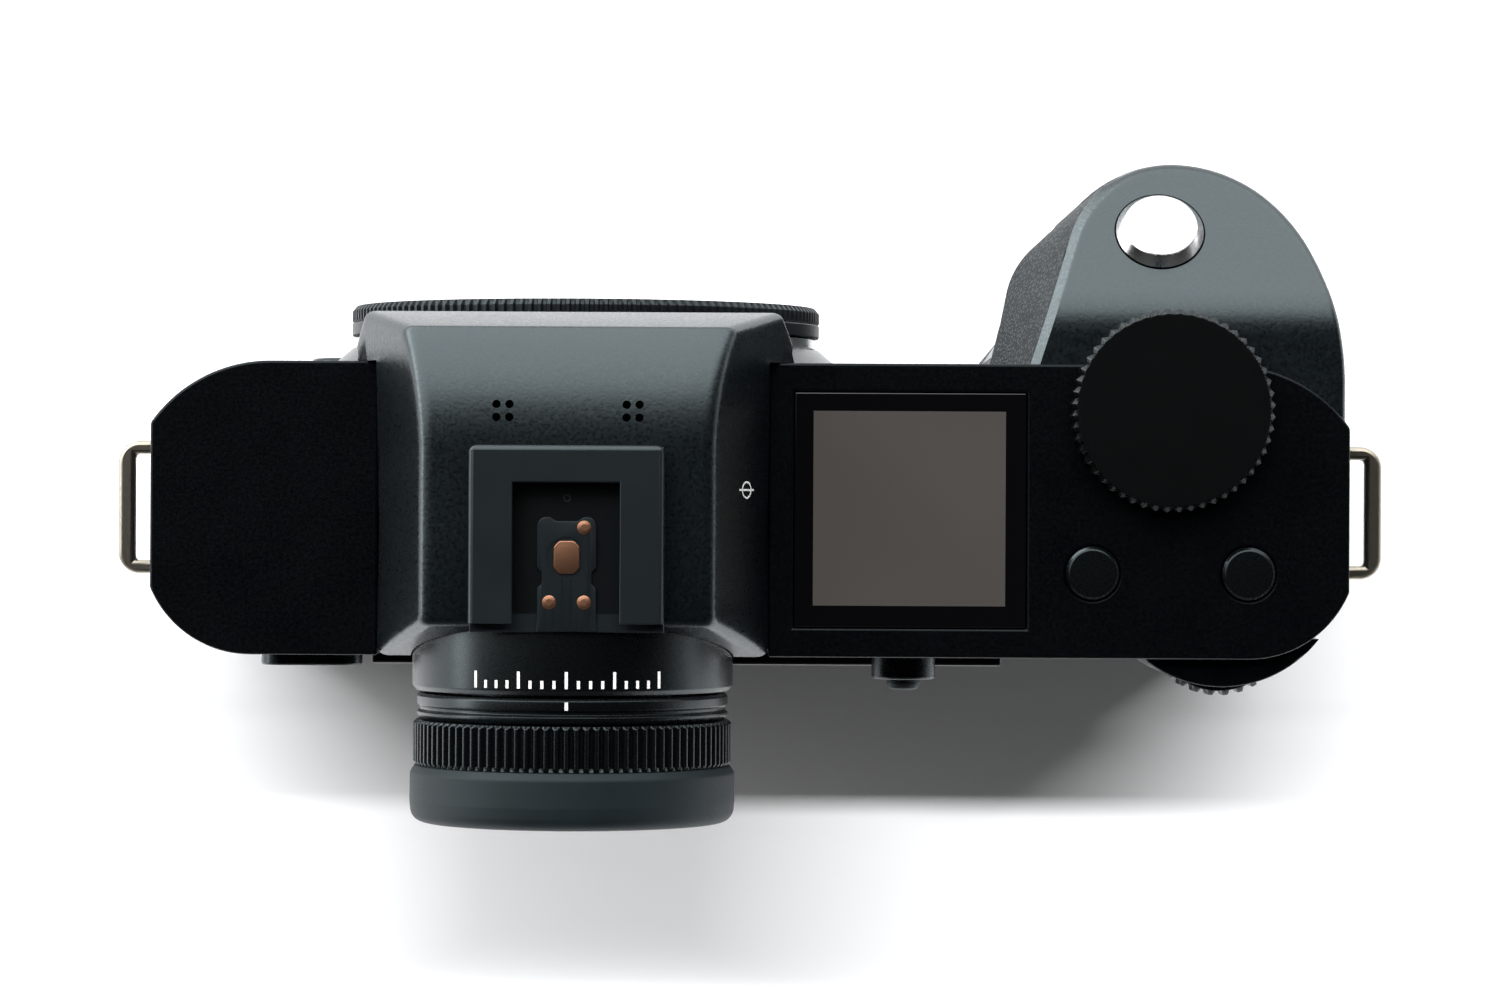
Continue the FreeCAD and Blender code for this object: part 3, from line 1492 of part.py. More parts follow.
def body_cap():
    """A flat cap, and the bayonet on its back: a seat, a sleeve and tabs that pass between the claws."""
    face = flange_y - size("cap_gap")
    outer = cap_y
    bottom = outer + size("cap_floor")
    radius = size("cap_sleeve_radius")
    rim = size("cap_radius")
    edge = size("cap_edge")
    dish = size("cap_dish_radius")
    profile = [
        (0, size("cap_dish_depth")),
        (dish - edge, size("cap_dish_depth")),
        (dish, 0),
        (rim - edge, 0),
        (rim, edge),
        (rim, size("cap_floor")),
        (0, size("cap_floor")),
    ]
    node("body_cap", turned("cap_disc", profile, (0, outer, axis_z), FACING["y"]))
    seat_ring = rod("cap_seat", "y", rim, (bottom, face), (0, axis_z))
    sleeve = rod("cap_sleeve", "y", radius, (face - 0.5, cap_sleeve_y), (0, axis_z))
    tab_y = (cap_sleeve_y - size("cap_tab_thickness"), cap_sleeve_y)
    tab_radius = size("cap_tab_radius")
    tab_angle = size("cap_tab_angle")
    tab_root = radius - size("cap_sleeve_wall") / 2
    tabs = []
    for index in range(3):
        tabs.append(sector("cap_tab_%d" % index, tab_root, tab_radius, tab_y, 30 + 120 * index, tab_angle))
    hollow = rod("cap_hollow", "y", radius - size("cap_sleeve_wall"), (outer, 0), (0, axis_z))
    x, z = lock_pin_place()
    pin_angle = math.degrees(math.atan2(z.value - axis_z.value, x.value))
    notch_y = (bottom - 1, face + 0.1)
    notch_inner = size("cap_notch_inner_radius")
    notch = sector("cap_pin_notch", notch_inner, rim + 1, notch_y, pin_angle, size("cap_notch_angle"))
    node("body_cap_bayonet", less("cap_cut", joined("cap_whole", seat_ring, sleeve, *tabs), hollow, notch))


# The inside


def chassis():
    """The battery box, the front plate with the throat, and behind it the walls and the back frame."""
    plate_y = (front_inner, front_inner + size("chassis_plate"))
    bottom = floor
    top = chassis_top
    low_x = -size("chassis_right")
    high_x = size("chassis_left")
    plate = block("chassis_plate_body", (low_x, high_x), plate_y, (bottom, top))
    wall = size("chassis_wall")
    frame_back = size("back_frame_y") + size("back_frame_thickness")
    wall_y = (plate_y[1], frame_back)
    unit_half = size("shutter_unit_half_width") + 0.5
    walls = [
        block("chassis_wall_left", (unit_half, unit_half + wall), wall_y, (bottom, top)),
        block("chassis_wall_right", (-unit_half - wall, -unit_half), wall_y, (bottom, top)),
    ]
    back_z = (size("back_frame_bottom"), top)
    back_y = (size("back_frame_y"), frame_back)
    back_frame = block("chassis_back_frame", (-unit_half, unit_half), back_y, back_z)
    shelf_z = (bottom, unit_bottom - free_gap)
    shelf = block("chassis_shelf", (-unit_half, unit_half), (plate_y[1], frame_back), shelf_z)
    tripod_half = size("tripod_block_half_width")
    tripod_y = (-size("tripod_block_front"), size("tripod_block_back"))
    tripod_z = (bottom, size("tripod_block_top"))
    tripod = block("chassis_tripod_block", (-tripod_half, tripod_half), tripod_y, tripod_z)
    box_half = size("battery_width") / 2 + size("battery_box_wall")
    box_x = (-size("battery_x") - box_half, box_half - size("battery_x"))
    box_z = (bottom, size("battery_height") + size("battery_box_wall") + size("snug") * 10)
    box = block("battery_box_body", box_x, (front_inner, battery_box_back()), box_z)
    inside = prism("chassis_inside", "top", plan(inner_inset), (bottom, parting))
    box = shared("battery_box_inside", box, inside)
    frame = joined("chassis_whole", *walls, back_frame, shelf, tripod)
    throat = rod("chassis_throat", "y", size("chassis_bore_radius"), (-far, plate_y[1]), (0, axis_z))
    window_half = size("back_window_half_width")
    window_tall = size("back_window_half_height")
    window_z = (axis_z - window_tall, axis_z + window_tall)
    window = block("chassis_window", (-window_half, window_half), (plate_y[1] + 0.5, far), window_z)
    bush = rod("chassis_bush_hole", "z", size("bush_radius") + snug, (-1, size("bush_height") + seam), (0, 0))
    pin = rod("chassis_pin_hole", "y", size("lock_pin_radius") + 0.5, (-far, plate_y[1] - 1), lock_pin_place())
    wells = []
    well_y = (front_inner - 1, plate_y[1] - 0.6)
    for label, radius, x, height in front_buttons():
        wells.append(rod(label + "_well", "y", radius + size("button_flange") + free_gap, well_y, (x, height)))
    trimmed = less("chassis_plate_trim", plate, box)
    node("chassis_front_plate", less("chassis_plate_cut", trimmed, throat, pin, *wells))
    node("chassis", less("chassis_cut", frame, window, bush))
    node("battery_box", less("battery_box_cut", box, battery_room("battery_box_room")))


def battery_box_back():
    """The Y of the battery box's back wall, outside."""
    battery_back = size("battery_thickness") - size("battery_front") + size("battery_gap")
    return battery_back + size("battery_box_wall")


def tripod_socket():
    """The threaded bush for a tripod screw, its bore drawn plain."""
    bush = rod("tripod_bush", "z", size("bush_radius"), (0, size("bush_height")), (0, 0))
    bore = rod("tripod_bore", "z", size("thread_bore_radius"), (-1, size("thread_depth")), (0, 0))
    node("tripod_socket", less("tripod_cut", bush, bore))


def shutter_unit():
    """The focal plane shutter: a frame round the picture area with a slot for its curtain."""
    start = front_inner + size("chassis_plate")
    y = (start, start + size("shutter_unit_depth"))
    half = size("shutter_unit_half_width")
    gate_top = axis_z + size("frame_half_height")
    whole = block("shutter_frame", (-half, half), y, (unit_bottom, gate_top + size("shutter_unit_rim")))
    gate_half = size("frame_half_width")
    gate = block("shutter_gate", (-gate_half, gate_half), (-far, far), (gate_bottom, gate_top))
    middle = (y[0] + y[1]) / 2
    slot_half = size("curtain_slot") / 2
    curtain_half = gate_half + 2
    closed_top = gate_top + size("curtain_overlap")
    open_top = gate_bottom - size("curtain_drop")
    slot_x = (-curtain_half - free_gap, curtain_half + free_gap)
    slot_z = (open_top - curtain_height - free_gap, closed_top + free_gap)
    slot = block("curtain_slot", slot_x, (middle - slot_half, middle + slot_half), slot_z)
    node("shutter_unit", less("shutter_cut", whole, gate, slot))
    thin = size("curtain_thickness") / 2
    curtain_y = (middle - thin, middle + thin)
    curtain_z = (open_top - curtain_height, open_top)
    node("shutter_curtain", block("curtain", (-curtain_half, curtain_half), curtain_y, curtain_z))


def sensor():
    """The stabiliser's slider, the image sensor on it and the glass over the sensor."""
    sensor_y = (-size("sensor_front"), size("sensor_thickness") - size("sensor_front"))
    half = size("sensor_half_width")
    tall = size("sensor_half_height")
    node("image_sensor", block("sensor_body", (-half, half), sensor_y, (axis_z - tall, axis_z + tall)))
    glass_y = (sensor_y[0] - size("cover_glass_thickness"), sensor_y[0])
    glass_z = (axis_z - tall + 1, axis_z + tall - 1)
    node("sensor_cover_glass", block("sensor_glass", (1 - half, half - 1), glass_y, glass_z))
    slider_half = size("slider_half_width")
    slider_tall = size("slider_half_height")
    slider_y = (sensor_y[1] + seam, sensor_y[1] + seam + size("slider_thickness"))
    slider_z = (axis_z - slider_tall, axis_z + slider_tall)
    whole = block("slider_plate", (-slider_half, slider_half), slider_y, slider_z)
    window_half = size("slider_window_half_width")
    window_tall = size("slider_window_half_height")
    window_z = (axis_z - window_tall, axis_z + window_tall)
    window = block("slider_window", (-window_half, window_half), (-far, far), window_z)
    node("stabiliser_slider", less("slider_cut", whole, window))


def main_board():
    """The circuit board behind the back frame, with a processor and a memory chip."""
    start = size("back_frame_y") + size("back_frame_thickness")
    y = (start, start + size("board_thickness"))
    z = (size("board_bottom"), parting - size("board_drop"))
    plate = block("board_plate", (-size("board_right"), size("board_left")), y, z)
    half = size("processor_half")
    chip_y = (y[1], y[1] + size("processor_thickness"))
    chip = block("board_processor", (-half, half), chip_y, (axis_z - half, axis_z + half))
    x = -size("memory_x")
    side = size("memory_half")
    memory_y = (y[1], y[1] + size("memory_thickness"))
    memory = block("board_memory", (x - side, x + side), memory_y, (axis_z - side, axis_z + side))
    node("main_circuit_board", joined("board_whole", plate, chip, memory))


def battery():
    """The battery, made as a body with rounded upright edges; its foot closes the base."""
    body = doc.addObject("PartDesign::Body", "battery_body")
    plane = [feature for feature in body.Origin.OriginFeatures if feature.Role == "XY_Plane"][0]
    sketch = body.newObject("Sketcher::SketchObject", "battery_outline")
    sketch.AttachmentSupport = [(plane, "")]
    sketch.MapMode = "FlatFace"
    half = size("battery_width") / 2
    deep = size("battery_thickness")
    draw(sketch, [(-half, 0), (half, 0), (half, deep), (-half, deep)])
    pad = body.newObject("PartDesign::Pad", "battery_pad")
    pad.Profile = sketch
    bind(pad, "Length", size("battery_height"))
    doc.recompute()
    upright = [
        "Edge%d" % (index + 1) for index, edge in enumerate(pad.Shape.Edges)
        if abs(edge.Vertexes[0].Z - edge.Vertexes[-1].Z) > 1
    ]
    rounding = body.newObject("PartDesign::Fillet", "battery_rounding")
    rounding.Base = (pad, upright)
    bind(rounding, "Radius", size("battery_corner"))
    body.Tip = rounding
    seat(body, (-size("battery_x"), -size("battery_front"), size("battery_recess")))
    node("battery", body)


def battery_lever():
    """The lever in the base that lets the battery go."""
    pivot = (-size("battery_lever_x"), size("battery_lever_y"))
    z = (free_gap, size("battery_lever_thickness") + free_gap)
    hub = rod("lever_hub_low", "z", size("battery_lever_hub"), z, pivot)
    half = size("battery_lever_half_width")
    tip_x = pivot[0] + size("battery_lever_reach") - half
    arm = block("lever_arm_low", (pivot[0], tip_x), (pivot[1] - half, pivot[1] + half), z)
    tip = rod("lever_tip_low", "z", half, z, (tip_x, pivot[1]))
    shaft = rod("lever_shaft_low", "z", size("battery_lever_shaft_radius"), (z[0], floor + 0.8), pivot)
    node("battery_lever", joined("battery_lever_whole", hub, arm, tip, shaft))


def card_slot():
    """The reader behind the card door, with two upright mouths for memory cards."""
    mouth_x = right + size("end_block_depth")
    y_low = battery_box_back()
    middle_z = (size("card_door_bottom") + size("card_door_top")) / 2
    tall = size("card_slot_height") / 2
    whole = block(
        "card_reader", (mouth_x, mouth_x + size("card_slot_depth")), (y_low, size("card_slot_back")),
        (middle_z - tall, middle_z + tall),
    )
    half = size("card_mouth_height") / 2
    thin = size("card_mouth_width") / 2
    x = (mouth_x - 1, mouth_x + size("card_slot_depth") - 2)
    mouths = []
    for index, side in enumerate((-1, 1)):
        y = size("card_mouth_centre") + size("card_mouth_pitch") / 2 * side
        mouth_z = (middle_z - half, middle_z + half)
        mouths.append(block("card_mouth_%d" % index, x, (y - thin, y + thin), mouth_z))
    node("card_slot", less("card_slot_cut", whole, *mouths))


def port_sockets():
    """The sockets behind the two doors of the left end: two round jacks above, two flat ports below."""
    face = left - size("end_block_depth")
    x = (face - size("socket_depth"), face)
    z = (size("lower_door_bottom"), size("upper_door_top"))
    rim = size("bay_margin")
    whole = block("socket_block", x, (rim - size("door_front"), size("door_pivot") - rim), z)
    middle = (size("door_pivot") - size("door_front")) / 2
    upper = (size("upper_door_bottom") + size("upper_door_top")) / 2
    lower = (size("lower_door_bottom") + size("lower_door_top")) / 2
    cut_x = (x[0] + 1, far)
    cuts = []
    for index, side in enumerate((-1, 1)):
        centre = (middle, upper + size("jack_offset") * side)
        cuts.append(rod("jack_%d" % index, "x", size("jack_radius"), cut_x, centre))
    half = size("wide_port_half_width")
    tall = size("wide_port_half_height")
    cuts.append(block("wide_port", cut_x, (middle - half, middle + half), (lower - tall, lower + tall)))
    half = size("wide_port_tongue_half_width")
    tall = size("wide_port_tongue_half_height")
    tongue_x = (x[0], face - 0.5)
    tongue = block("wide_port_tongue", tongue_x, (middle - half, middle + half), (lower - tall, lower + tall))
    node("port_sockets", joined("sockets_whole", less("socket_cut", whole, *cuts), tongue))


# The back and the eyepiece


def rear_display():
    """The back's touch screen: its glass, and its module behind it."""
    x = (-size("screen_right"), size("screen_left"))
    z = (size("screen_bottom"), screen_top)
    outer = back + size("screen_proud")
    glass = block("screen_glass", x, (rear_inner, outer), z)
    margin = size("screen_module_margin")
    module = block(
        "screen_module", (x[0] + margin, x[1] - margin), (rear_inner - size("screen_depth"), rear_inner),
        (z[0] + margin, z[1] - margin),
    )
    node("rear_display", joined("screen_whole", glass, module))


def power_lever():
    """The main switch: a short lever on a shaft through the back, kept by a collar."""
    x = size("lever_x")
    z = lever_z
    y = (back + seam, back + seam + size("lever_thickness"))
    radius = size("lever_hub_radius")
    hub = rod("power_hub", "y", radius, y, (x, z))
    arm = block("power_arm", (x, x + size("lever_reach")), y, (z - radius, z + radius))
    tip = rod("power_tip", "y", radius, y, (x + size("lever_reach"), z))
    collar_y = (rear_inner - seam - size("lever_collar_thickness"), rear_inner - seam)
    shaft = rod("power_shaft", "y", size("lever_shaft_radius"), (collar_y[0], y[0]), (x, z))
    collar = rod("power_collar", "y", size("lever_shaft_radius") * 2, collar_y, (x, z))
    node("power_lever", joined("power_whole", hub, arm, tip, shaft, collar))


def joystick():
    """A collar on the back, and in it a plunger, a gimbal cross on the plunger and the stick with its knob."""
    x = -size("stick_x")
    z = stick_z
    pivot = size("stick_pivot_reach")
    bore = size("stick_bore_radius")
    collar = rod("stick_boss", "y", size("stick_boss_radius"), (rear_face, size("stick_boss_reach")), (x, z))
    collar_bore = rod("stick_boss_bore", "y", bore, (0, far), (x, z))
    node("joystick_collar", less("stick_boss_ring", collar, collar_bore))
    plunger_start = pivot - size("plunger_depth")
    plunger_y = (plunger_start, plunger_start + size("plunger_thickness"))
    node("joystick_plunger", rod("plunger_disc", "y", bore - snug, plunger_y, (x, z)))
    arm = size("gimbal_half_length")
    thin = size("gimbal_radius")
    cross = [
        rod("gimbal_across", "x", thin, (x - arm, x + arm), (pivot, z)),
        rod("gimbal_upright", "z", thin, (z - arm, z + arm), (x, pivot)),
    ]
    node("joystick_gimbal", joined("gimbal", *cross))
    reach = size("stick_knob_reach")
    knob = size("stick_knob_radius")
    length = reach - pivot
    stem = size("stick_stem_radius")
    foot = thin + size("stick_foot_gap")
    skirt = length - size("stick_knob_skirt")
    edge = size("stick_knob_edge")
    profile = [
        (0, foot),
        (stem, foot),
        (stem, skirt - size("stick_knob_cone")),
        (knob, skirt),
        (knob, length - edge),
        (knob - edge, length),
        (0, length - size("stick_knob_dish")),
    ]
    node("joystick_cap", turned("stick_turned", profile, (x, pivot, z), FACING["y"]))


def eyepiece():
    """The fixed barrel, and the ring set that turns on its tube to set the eyesight correction."""
    centre = (0, eye_z)
    outer = size("barrel_radius")
    tube = size("barrel_tube_radius")
    barrel = rod("barrel_body", "y", outer, (size("barrel_start"), size("barrel_end")), centre)
    inner_tube = rod("barrel_tube", "y", tube, (size("barrel_tube_start"), size("barrel_tube_end")), centre)
    bore = rod("barrel_bore", "y", size("barrel_bore_radius"), (-far, far), centre)
    node("eyepiece_barrel", less("barrel_cut", joined("barrel_whole", barrel, inner_tube), bore))
    ring_bore = size("ring_bore_radius")
    band = outer - size("index_ring_step")
    knurl = outer - size("knurl_step")
    step = size("knurl_start") - size("index_ring_start")
    knurl_end = size("eyecup_start") - size("index_ring_start")
    ring = [(ring_bore, 0), (band, 0), (band, step), (knurl, step), (knurl, knurl_end), (ring_bore, knurl_end)]
    node("diopter_ring", turned("ring_turned", ring, (0, size("index_ring_start"), eye_z), FACING["y"]))
    start = size("eyecup_start")
    end = size("eyecup_end")
    radius = outer + size("eyecup_flare")
    rim = radius - size("eyecup_rim_width")
    length = end - start
    edge = size("eyecup_edge")
    profile = [
        (ring_bore, 0),
        (radius - size("eyecup_foot_step"), 0),
        (radius, size("eyecup_foot_height")),
        (radius, length - edge, LEFT, edge),
        (radius - edge, length),
        (rim, length),
        (ring_bore, size("eyecup_floor")),
    ]
    node("eyecup", turned("eyecup_turned", profile, (0, start, eye_z), FACING["y"]))
    lens_radius = size("barrel_bore_radius") - close_gap
    lens_length = size("eye_lens_end") - size("eye_lens_start")
    dome = size("eye_lens_dome")
    dome_radius = (lens_radius * lens_radius + dome * dome) / (2 * dome)
    lens_profile = [
        (0, 0),
        (lens_radius, 0),
        (lens_radius, lens_length - dome, LEFT, dome_radius),
        (0, lens_length),
    ]
    lens_place = (0, size("eye_lens_start"), eye_z)
    node("eyepiece_lens", turned("lens_turned", lens_profile, lens_place, FACING["y"]))
    panel_half = size("finder_panel_half_width")
    panel_front = -size("finder_panel_front")
    panel_y = (panel_front, panel_front + size("finder_panel_thickness"))
    panel_z = (parting + size("finder_panel_foot"), roof_z - size("hump_wall"))
    node("viewfinder_panel", block("finder_panel_body", (-panel_half, panel_half), panel_y, panel_z))


def strap_lugs():
    """Two fixed loops of steel bar, one on each end."""
    reach = size("lug_reach")
    bar = size("lug_bar")
    corner = size("lug_corner_radius")
    half = size("lug_length") / 2
    low = size("lug_centre") - half
    high = size("lug_centre") + half
    lug_z = parting + size("lug_rise")
    z = (lug_z - size("lug_thickness") / 2, lug_z + size("lug_thickness") / 2)
    loops = []
    for name, face, way in (("left", left, 1), ("right", right, -1)):
        outer_x = face + way * reach
        turn = LEFT if way > 0 else RIGHT
        outer = [
            (face, low),
            (outer_x - way * corner, low, turn, corner),
            (outer_x, low + corner),
            (outer_x, high - corner, turn, corner),
            (outer_x - way * corner, high),
            (face, high),
        ]
        arm = bar * 0.8
        inner = [
            (face, low + arm),
            (outer_x - way * bar, low + arm),
            (outer_x - way * bar, high - arm),
            (face, high - arm),
        ]
        loop = prism("lug_outer_" + name, "top", outer, z)
        gap = prism("lug_inner_" + name, "top", inner, (z[0] - 1, z[1] + 1))
        loops.append(less("lug_" + name, loop, gap))
    node("strap_lugs", group("lug_pair", loops))


def small_buttons():
    """All the round push buttons of the top, the back and the front."""
    for name, x in top_buttons.items():
        place = (x, size("top_button_y"), shoulder)
        push_button("top_button_" + name, "z", size("top_button_radius"), place, size("plate_wall"))
    rear_wall = rear_face - rear_inner
    for label, radius, x, height in rear_buttons():
        push_button(label, "y", radius, (x, rear_face, height), rear_wall)
    front_wall = front_inner - leather_face
    for label, radius, x, height in front_buttons():
        head = size("release_head") if label == "lens_release_button" else None
        push_button(label, "-y", radius, (x, leather_face, height), front_wall, head)


def build():
    """Make every sub-part and recompute the document."""
    for make in (
        top_plate_left, top_plate_right, top_display, top_dial, thumb_wheel, viewfinder_housing,
        electrical_contacts, rear_cover, side_doors, front_cover, leather_covering, grip_cover, shutter_button,
        base_plate, screws, mount_turret, mount_ring, lens_lock_pin, body_cap, chassis, tripod_socket,
        shutter_unit, sensor, main_board, battery, battery_lever, card_slot, port_sockets, rear_display,
        power_lever, joystick, eyepiece, strap_lugs, small_buttons,
    ):
        make()
    doc.recompute()


def check():
    """Stop if any object of the document failed or any sub-part is not a sound solid."""
    for thing in doc.Objects:
        if "Invalid" in thing.State or "Error" in thing.State:
            raise RuntimeError("%s did not build: %s" % (thing.Name, thing.State))
    for thing in nodes:
        shape = thing.Shape
        if shape.isNull() or not shape.isValid() or not shape.Solids:
            raise RuntimeError("%s is not a sound solid" % thing.Label)


def export():
    """Write each sub-part to its own STEP file and print its box."""
    os.makedirs("parts", exist_ok=True)
    for thing in nodes:
        thing.Shape.exportStep("parts/%s.step" % thing.Label)
        box = thing.Shape.BoundBox
        print("%-24s %2d solids %9.1f mm3  x %7.2f %7.2f  y %7.2f %7.2f  z %7.2f %7.2f" % (
            thing.Label, len(thing.Shape.Solids), thing.Shape.Volume,
            box.XMin, box.XMax, box.YMin, box.YMax, box.ZMin, box.ZMax,
        ))


build()
check()
export()
print("nodes:", len(nodes))
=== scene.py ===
# %% [markdown]
# A full-frame mirrorless camera, seen from above.
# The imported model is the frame: it fixes where every piece is. This script dresses it. Round and ribbed
# pieces are worked out as surfaces, machined and moulded pieces get their edges broken, and every piece
# gets a finish made for what it is on the real camera.

import bmesh
import bpy
import json
import math
import numpy as np
from mathutils import Euler, Matrix, Vector


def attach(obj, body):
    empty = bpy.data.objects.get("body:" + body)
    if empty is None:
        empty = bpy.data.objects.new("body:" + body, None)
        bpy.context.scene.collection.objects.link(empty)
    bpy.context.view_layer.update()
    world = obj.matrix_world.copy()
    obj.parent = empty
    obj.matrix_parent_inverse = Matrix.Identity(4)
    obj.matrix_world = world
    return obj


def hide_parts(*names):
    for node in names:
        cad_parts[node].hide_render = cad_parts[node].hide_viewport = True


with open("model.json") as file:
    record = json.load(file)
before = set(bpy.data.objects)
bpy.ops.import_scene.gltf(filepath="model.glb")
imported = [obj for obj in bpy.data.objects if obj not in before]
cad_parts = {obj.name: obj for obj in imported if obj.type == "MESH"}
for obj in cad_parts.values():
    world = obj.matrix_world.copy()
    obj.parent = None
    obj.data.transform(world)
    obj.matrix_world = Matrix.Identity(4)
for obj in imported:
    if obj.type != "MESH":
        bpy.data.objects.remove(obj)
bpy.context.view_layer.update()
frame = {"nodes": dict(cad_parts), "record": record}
MM = 0.001

# %% [markdown]
# Colours are written as a colour picker shows them, in sRGB hex, and one function turns them to the linear
# numbers that a shader works with. Another adds one node to a material with its settings and its links,
# because every finish below is a handful of such nodes.


# %% Colour and node helpers
def linear(code):
    """sRGB hex to linear: each channel c becomes ((c + 0.055) / 1.055) to the 2.4, or c / 12.92 when dark."""
    channels = np.array([int(code[i:i + 2], 16) for i in (1, 3, 5)]) / 255
    bright = ((channels + 0.055) / 1.055) ** 2.4
    return (*np.where(channels <= 0.04045, channels / 12.92, bright).tolist(), 1.0)


def add(tree, kind, settings=None, links=None):
    """Add a shader node. A setting is an input, by name or number, or else a property of the node."""
    made = tree.nodes.new("ShaderNode" + kind)
    for key, value in (settings or {}).items():
        if isinstance(key, int) or key in made.inputs:
            made.inputs[key].default_value = value
        else:
            setattr(made, key, value)
    for key, source in (links or {}).items():
        tree.links.new(source, made.inputs[key])
    return made


def finish(name, colour, settings):
    """A material with one Principled shader, and the object coordinates in metres to build patterns on."""
    material = bpy.data.materials.new(name)
    material.use_nodes = True
    tree = material.node_tree
    tree.nodes.clear()
    shader = add(tree, "BsdfPrincipled", {"Base Color": linear(colour), **settings})
    add(tree, "OutputMaterial", links={"Surface": shader.outputs[0]})
    coords = add(tree, "TexCoord").outputs["Object"]
    return material, tree, shader, coords


def toned(tree, source, start, end, colours):
    """A colour that runs from the first to the second of two while the source goes from start to end."""
    ramp = add(tree, "ValToRGB", links={"Fac": source})
    for stop, position, colour in zip(ramp.color_ramp.elements, (start, end), colours):
        stop.position = position
        stop.color = linear(colour)
    return ramp.outputs[0]


def product(tree, factors):
    """The factors multiplied, such as a mask that holds only where all of them do."""
    total = factors[0]
    for factor in factors[1:]:
        total = add(tree, "Math", {"operation": "MULTIPLY"}, {0: total, 1: factor}).outputs[0]
    return total


def raised(tree, shader, source, strength, height_mm):
    """The surface looks raised by height_mm where the source is 1."""
    bump = add(tree, "Bump", {"Strength": strength, "Distance": height_mm * MM}, {"Height": source})
    tree.links.new(bump.outputs[0], shader.inputs["Normal"])


def roughened(tree, shader, source, low, high, start=0.0, end=1.0):
    """The roughness goes from low to high while the source goes from start to end."""
    settings = {"From Min": start, "From Max": end, "To Min": low, "To Max": high}
    spread = add(tree, "MapRange", settings, {"Value": source})
    tree.links.new(spread.outputs[0], shader.inputs["Roughness"])


# %% [markdown]
# Most of this camera is black, and what tells its blacks apart is their grain. A grain is a noise whose
# features have a real size, used as a bump a few hundredths of a millimetre high, and again, more weakly,
# as a change in colour and roughness, since paint and plastic are never one even tone.


# %% Grain shared by the moulded, painted and anodised finishes
def grain(tree, shader, coords, size_mm, height_mm, strength=0.5, colours=None, rough=None, detail=2):
    """Bump from a noise with grains of size_mm; colours and rough are the two ends of its slow variation."""
    fine = add(
        tree, "TexNoise", {"Scale": 1 / (size_mm * MM), "Detail": detail, "Roughness": 0.6},
        {"Vector": coords},
    )
    raised(tree, shader, fine.outputs["Fac"], strength, height_mm)
    if colours:
        broad = add(tree, "TexNoise", {"Scale": 1 / (7 * MM), "Detail": 3}, {"Vector": coords})
        blend = product(tree, [fine.outputs["Fac"], broad.outputs["Fac"]])
        tree.links.new(toned(tree, blend, 0.1, 0.45, colours), shader.inputs["Base Color"])
    if rough:
        roughened(tree, shader, fine.outputs["Fac"], *rough, 0.3, 0.7)
    return fine


# %% [markdown]
# The body is die-cast magnesium alloy under a fine-grained black enamel. Sprayed enamel dries to a
# skin with grains of a quarter of a millimetre, drawn a little coarser here so that they show. They
# scatter a soft light into a faint sparkle. The shoulder plates have a flatter, darker version of it than
# the hump and the grip. The gloss of all the black finishes is a little blue, which one cool tint on
# their reflection gives.


# %% Painted alloy
BLACK_SHEEN = (0.79, 0.95, 1.0, 1.0)


def enamel(name, dark, pale, roughness, specular):
    """Fine-grained black enamel on cast alloy."""
    material, tree, shader, coords = finish(
        name, dark, {"Specular IOR Level": specular, "Specular Tint": BLACK_SHEEN}
    )
    grain(tree, shader, coords, 0.42, 0.03, 0.6, (dark, pale), (roughness - 0.05, roughness + 0.07))
    return material


shoulder_enamel = enamel("shoulder_enamel", "#010102", "#030405", 0.33, 0.18)
body_enamel = enamel("body_enamel", "#020405", "#04070a", 0.3, 0.85)

# %% [markdown]
# The grip and the front are covered with leatherette: vinyl embossed with a pebble grain about
# two thirds of a millimetre across. Cells with rounded tops and narrow valleys between them give that,
# so the height is the distance to the nearest cell edge, with a finer noise on top.


# %% Leatherette
def embossed_vinyl(name):
    """Black vinyl with a pebble grain."""
    material, tree, shader, coords = finish(
        name, "#17181a", {"Specular IOR Level": 0.5, "Specular Tint": BLACK_SHEEN}
    )
    warp = add(tree, "TexNoise", {"Scale": 1 / (2.5 * MM), "Detail": 2}, {"Vector": coords})
    shift = add(
        tree, "VectorMath", {"operation": "MULTIPLY_ADD", 1: (0.0006, 0.0006, 0.0006)},
        {0: warp.outputs["Color"], 2: coords},
    )
    cells = add(
        tree, "TexVoronoi", {"feature": "DISTANCE_TO_EDGE", "Scale": 1 / (0.65 * MM)},
        {"Vector": shift.outputs[0]},
    )
    pebble = add(
        tree, "MapRange", {"interpolation_type": "SMOOTHERSTEP", "From Min": 0.0, "From Max": 0.32},
        {"Value": cells.outputs["Distance"]},
    )
    fine = add(tree, "TexNoise", {"Scale": 1 / (0.25 * MM), "Detail": 2}, {"Vector": coords})
    height = add(
        tree, "Math", {"operation": "MULTIPLY_ADD", 1: 0.18},
        {0: fine.outputs["Fac"], 2: pebble.outputs[0]},
    )
    raised(tree, shader, height.outputs[0], 0.55, 0.07)
    # The valleys between the pebbles are coloured darker than their tops: painted shade in the grain.
    colour = toned(tree, pebble.outputs[0], 0, 1, ("#0c0c0d", "#1e1f21"))
    tree.links.new(colour, shader.inputs["Base Color"])
    roughened(tree, shader, pebble.outputs[0], 0.7, 0.5)
    return material


leatherette = embossed_vinyl("leatherette_vinyl")

# %% [markdown]
# The dial, the rings and the shoe are aluminium, turned or milled and then anodised black. The dye sits
# in a thin oxide layer, so they look like a hard, even black with a soft shine. The moulded plastic
# of doors and small buttons is a little greyer and has the frosted grain of a spark-eroded mould.


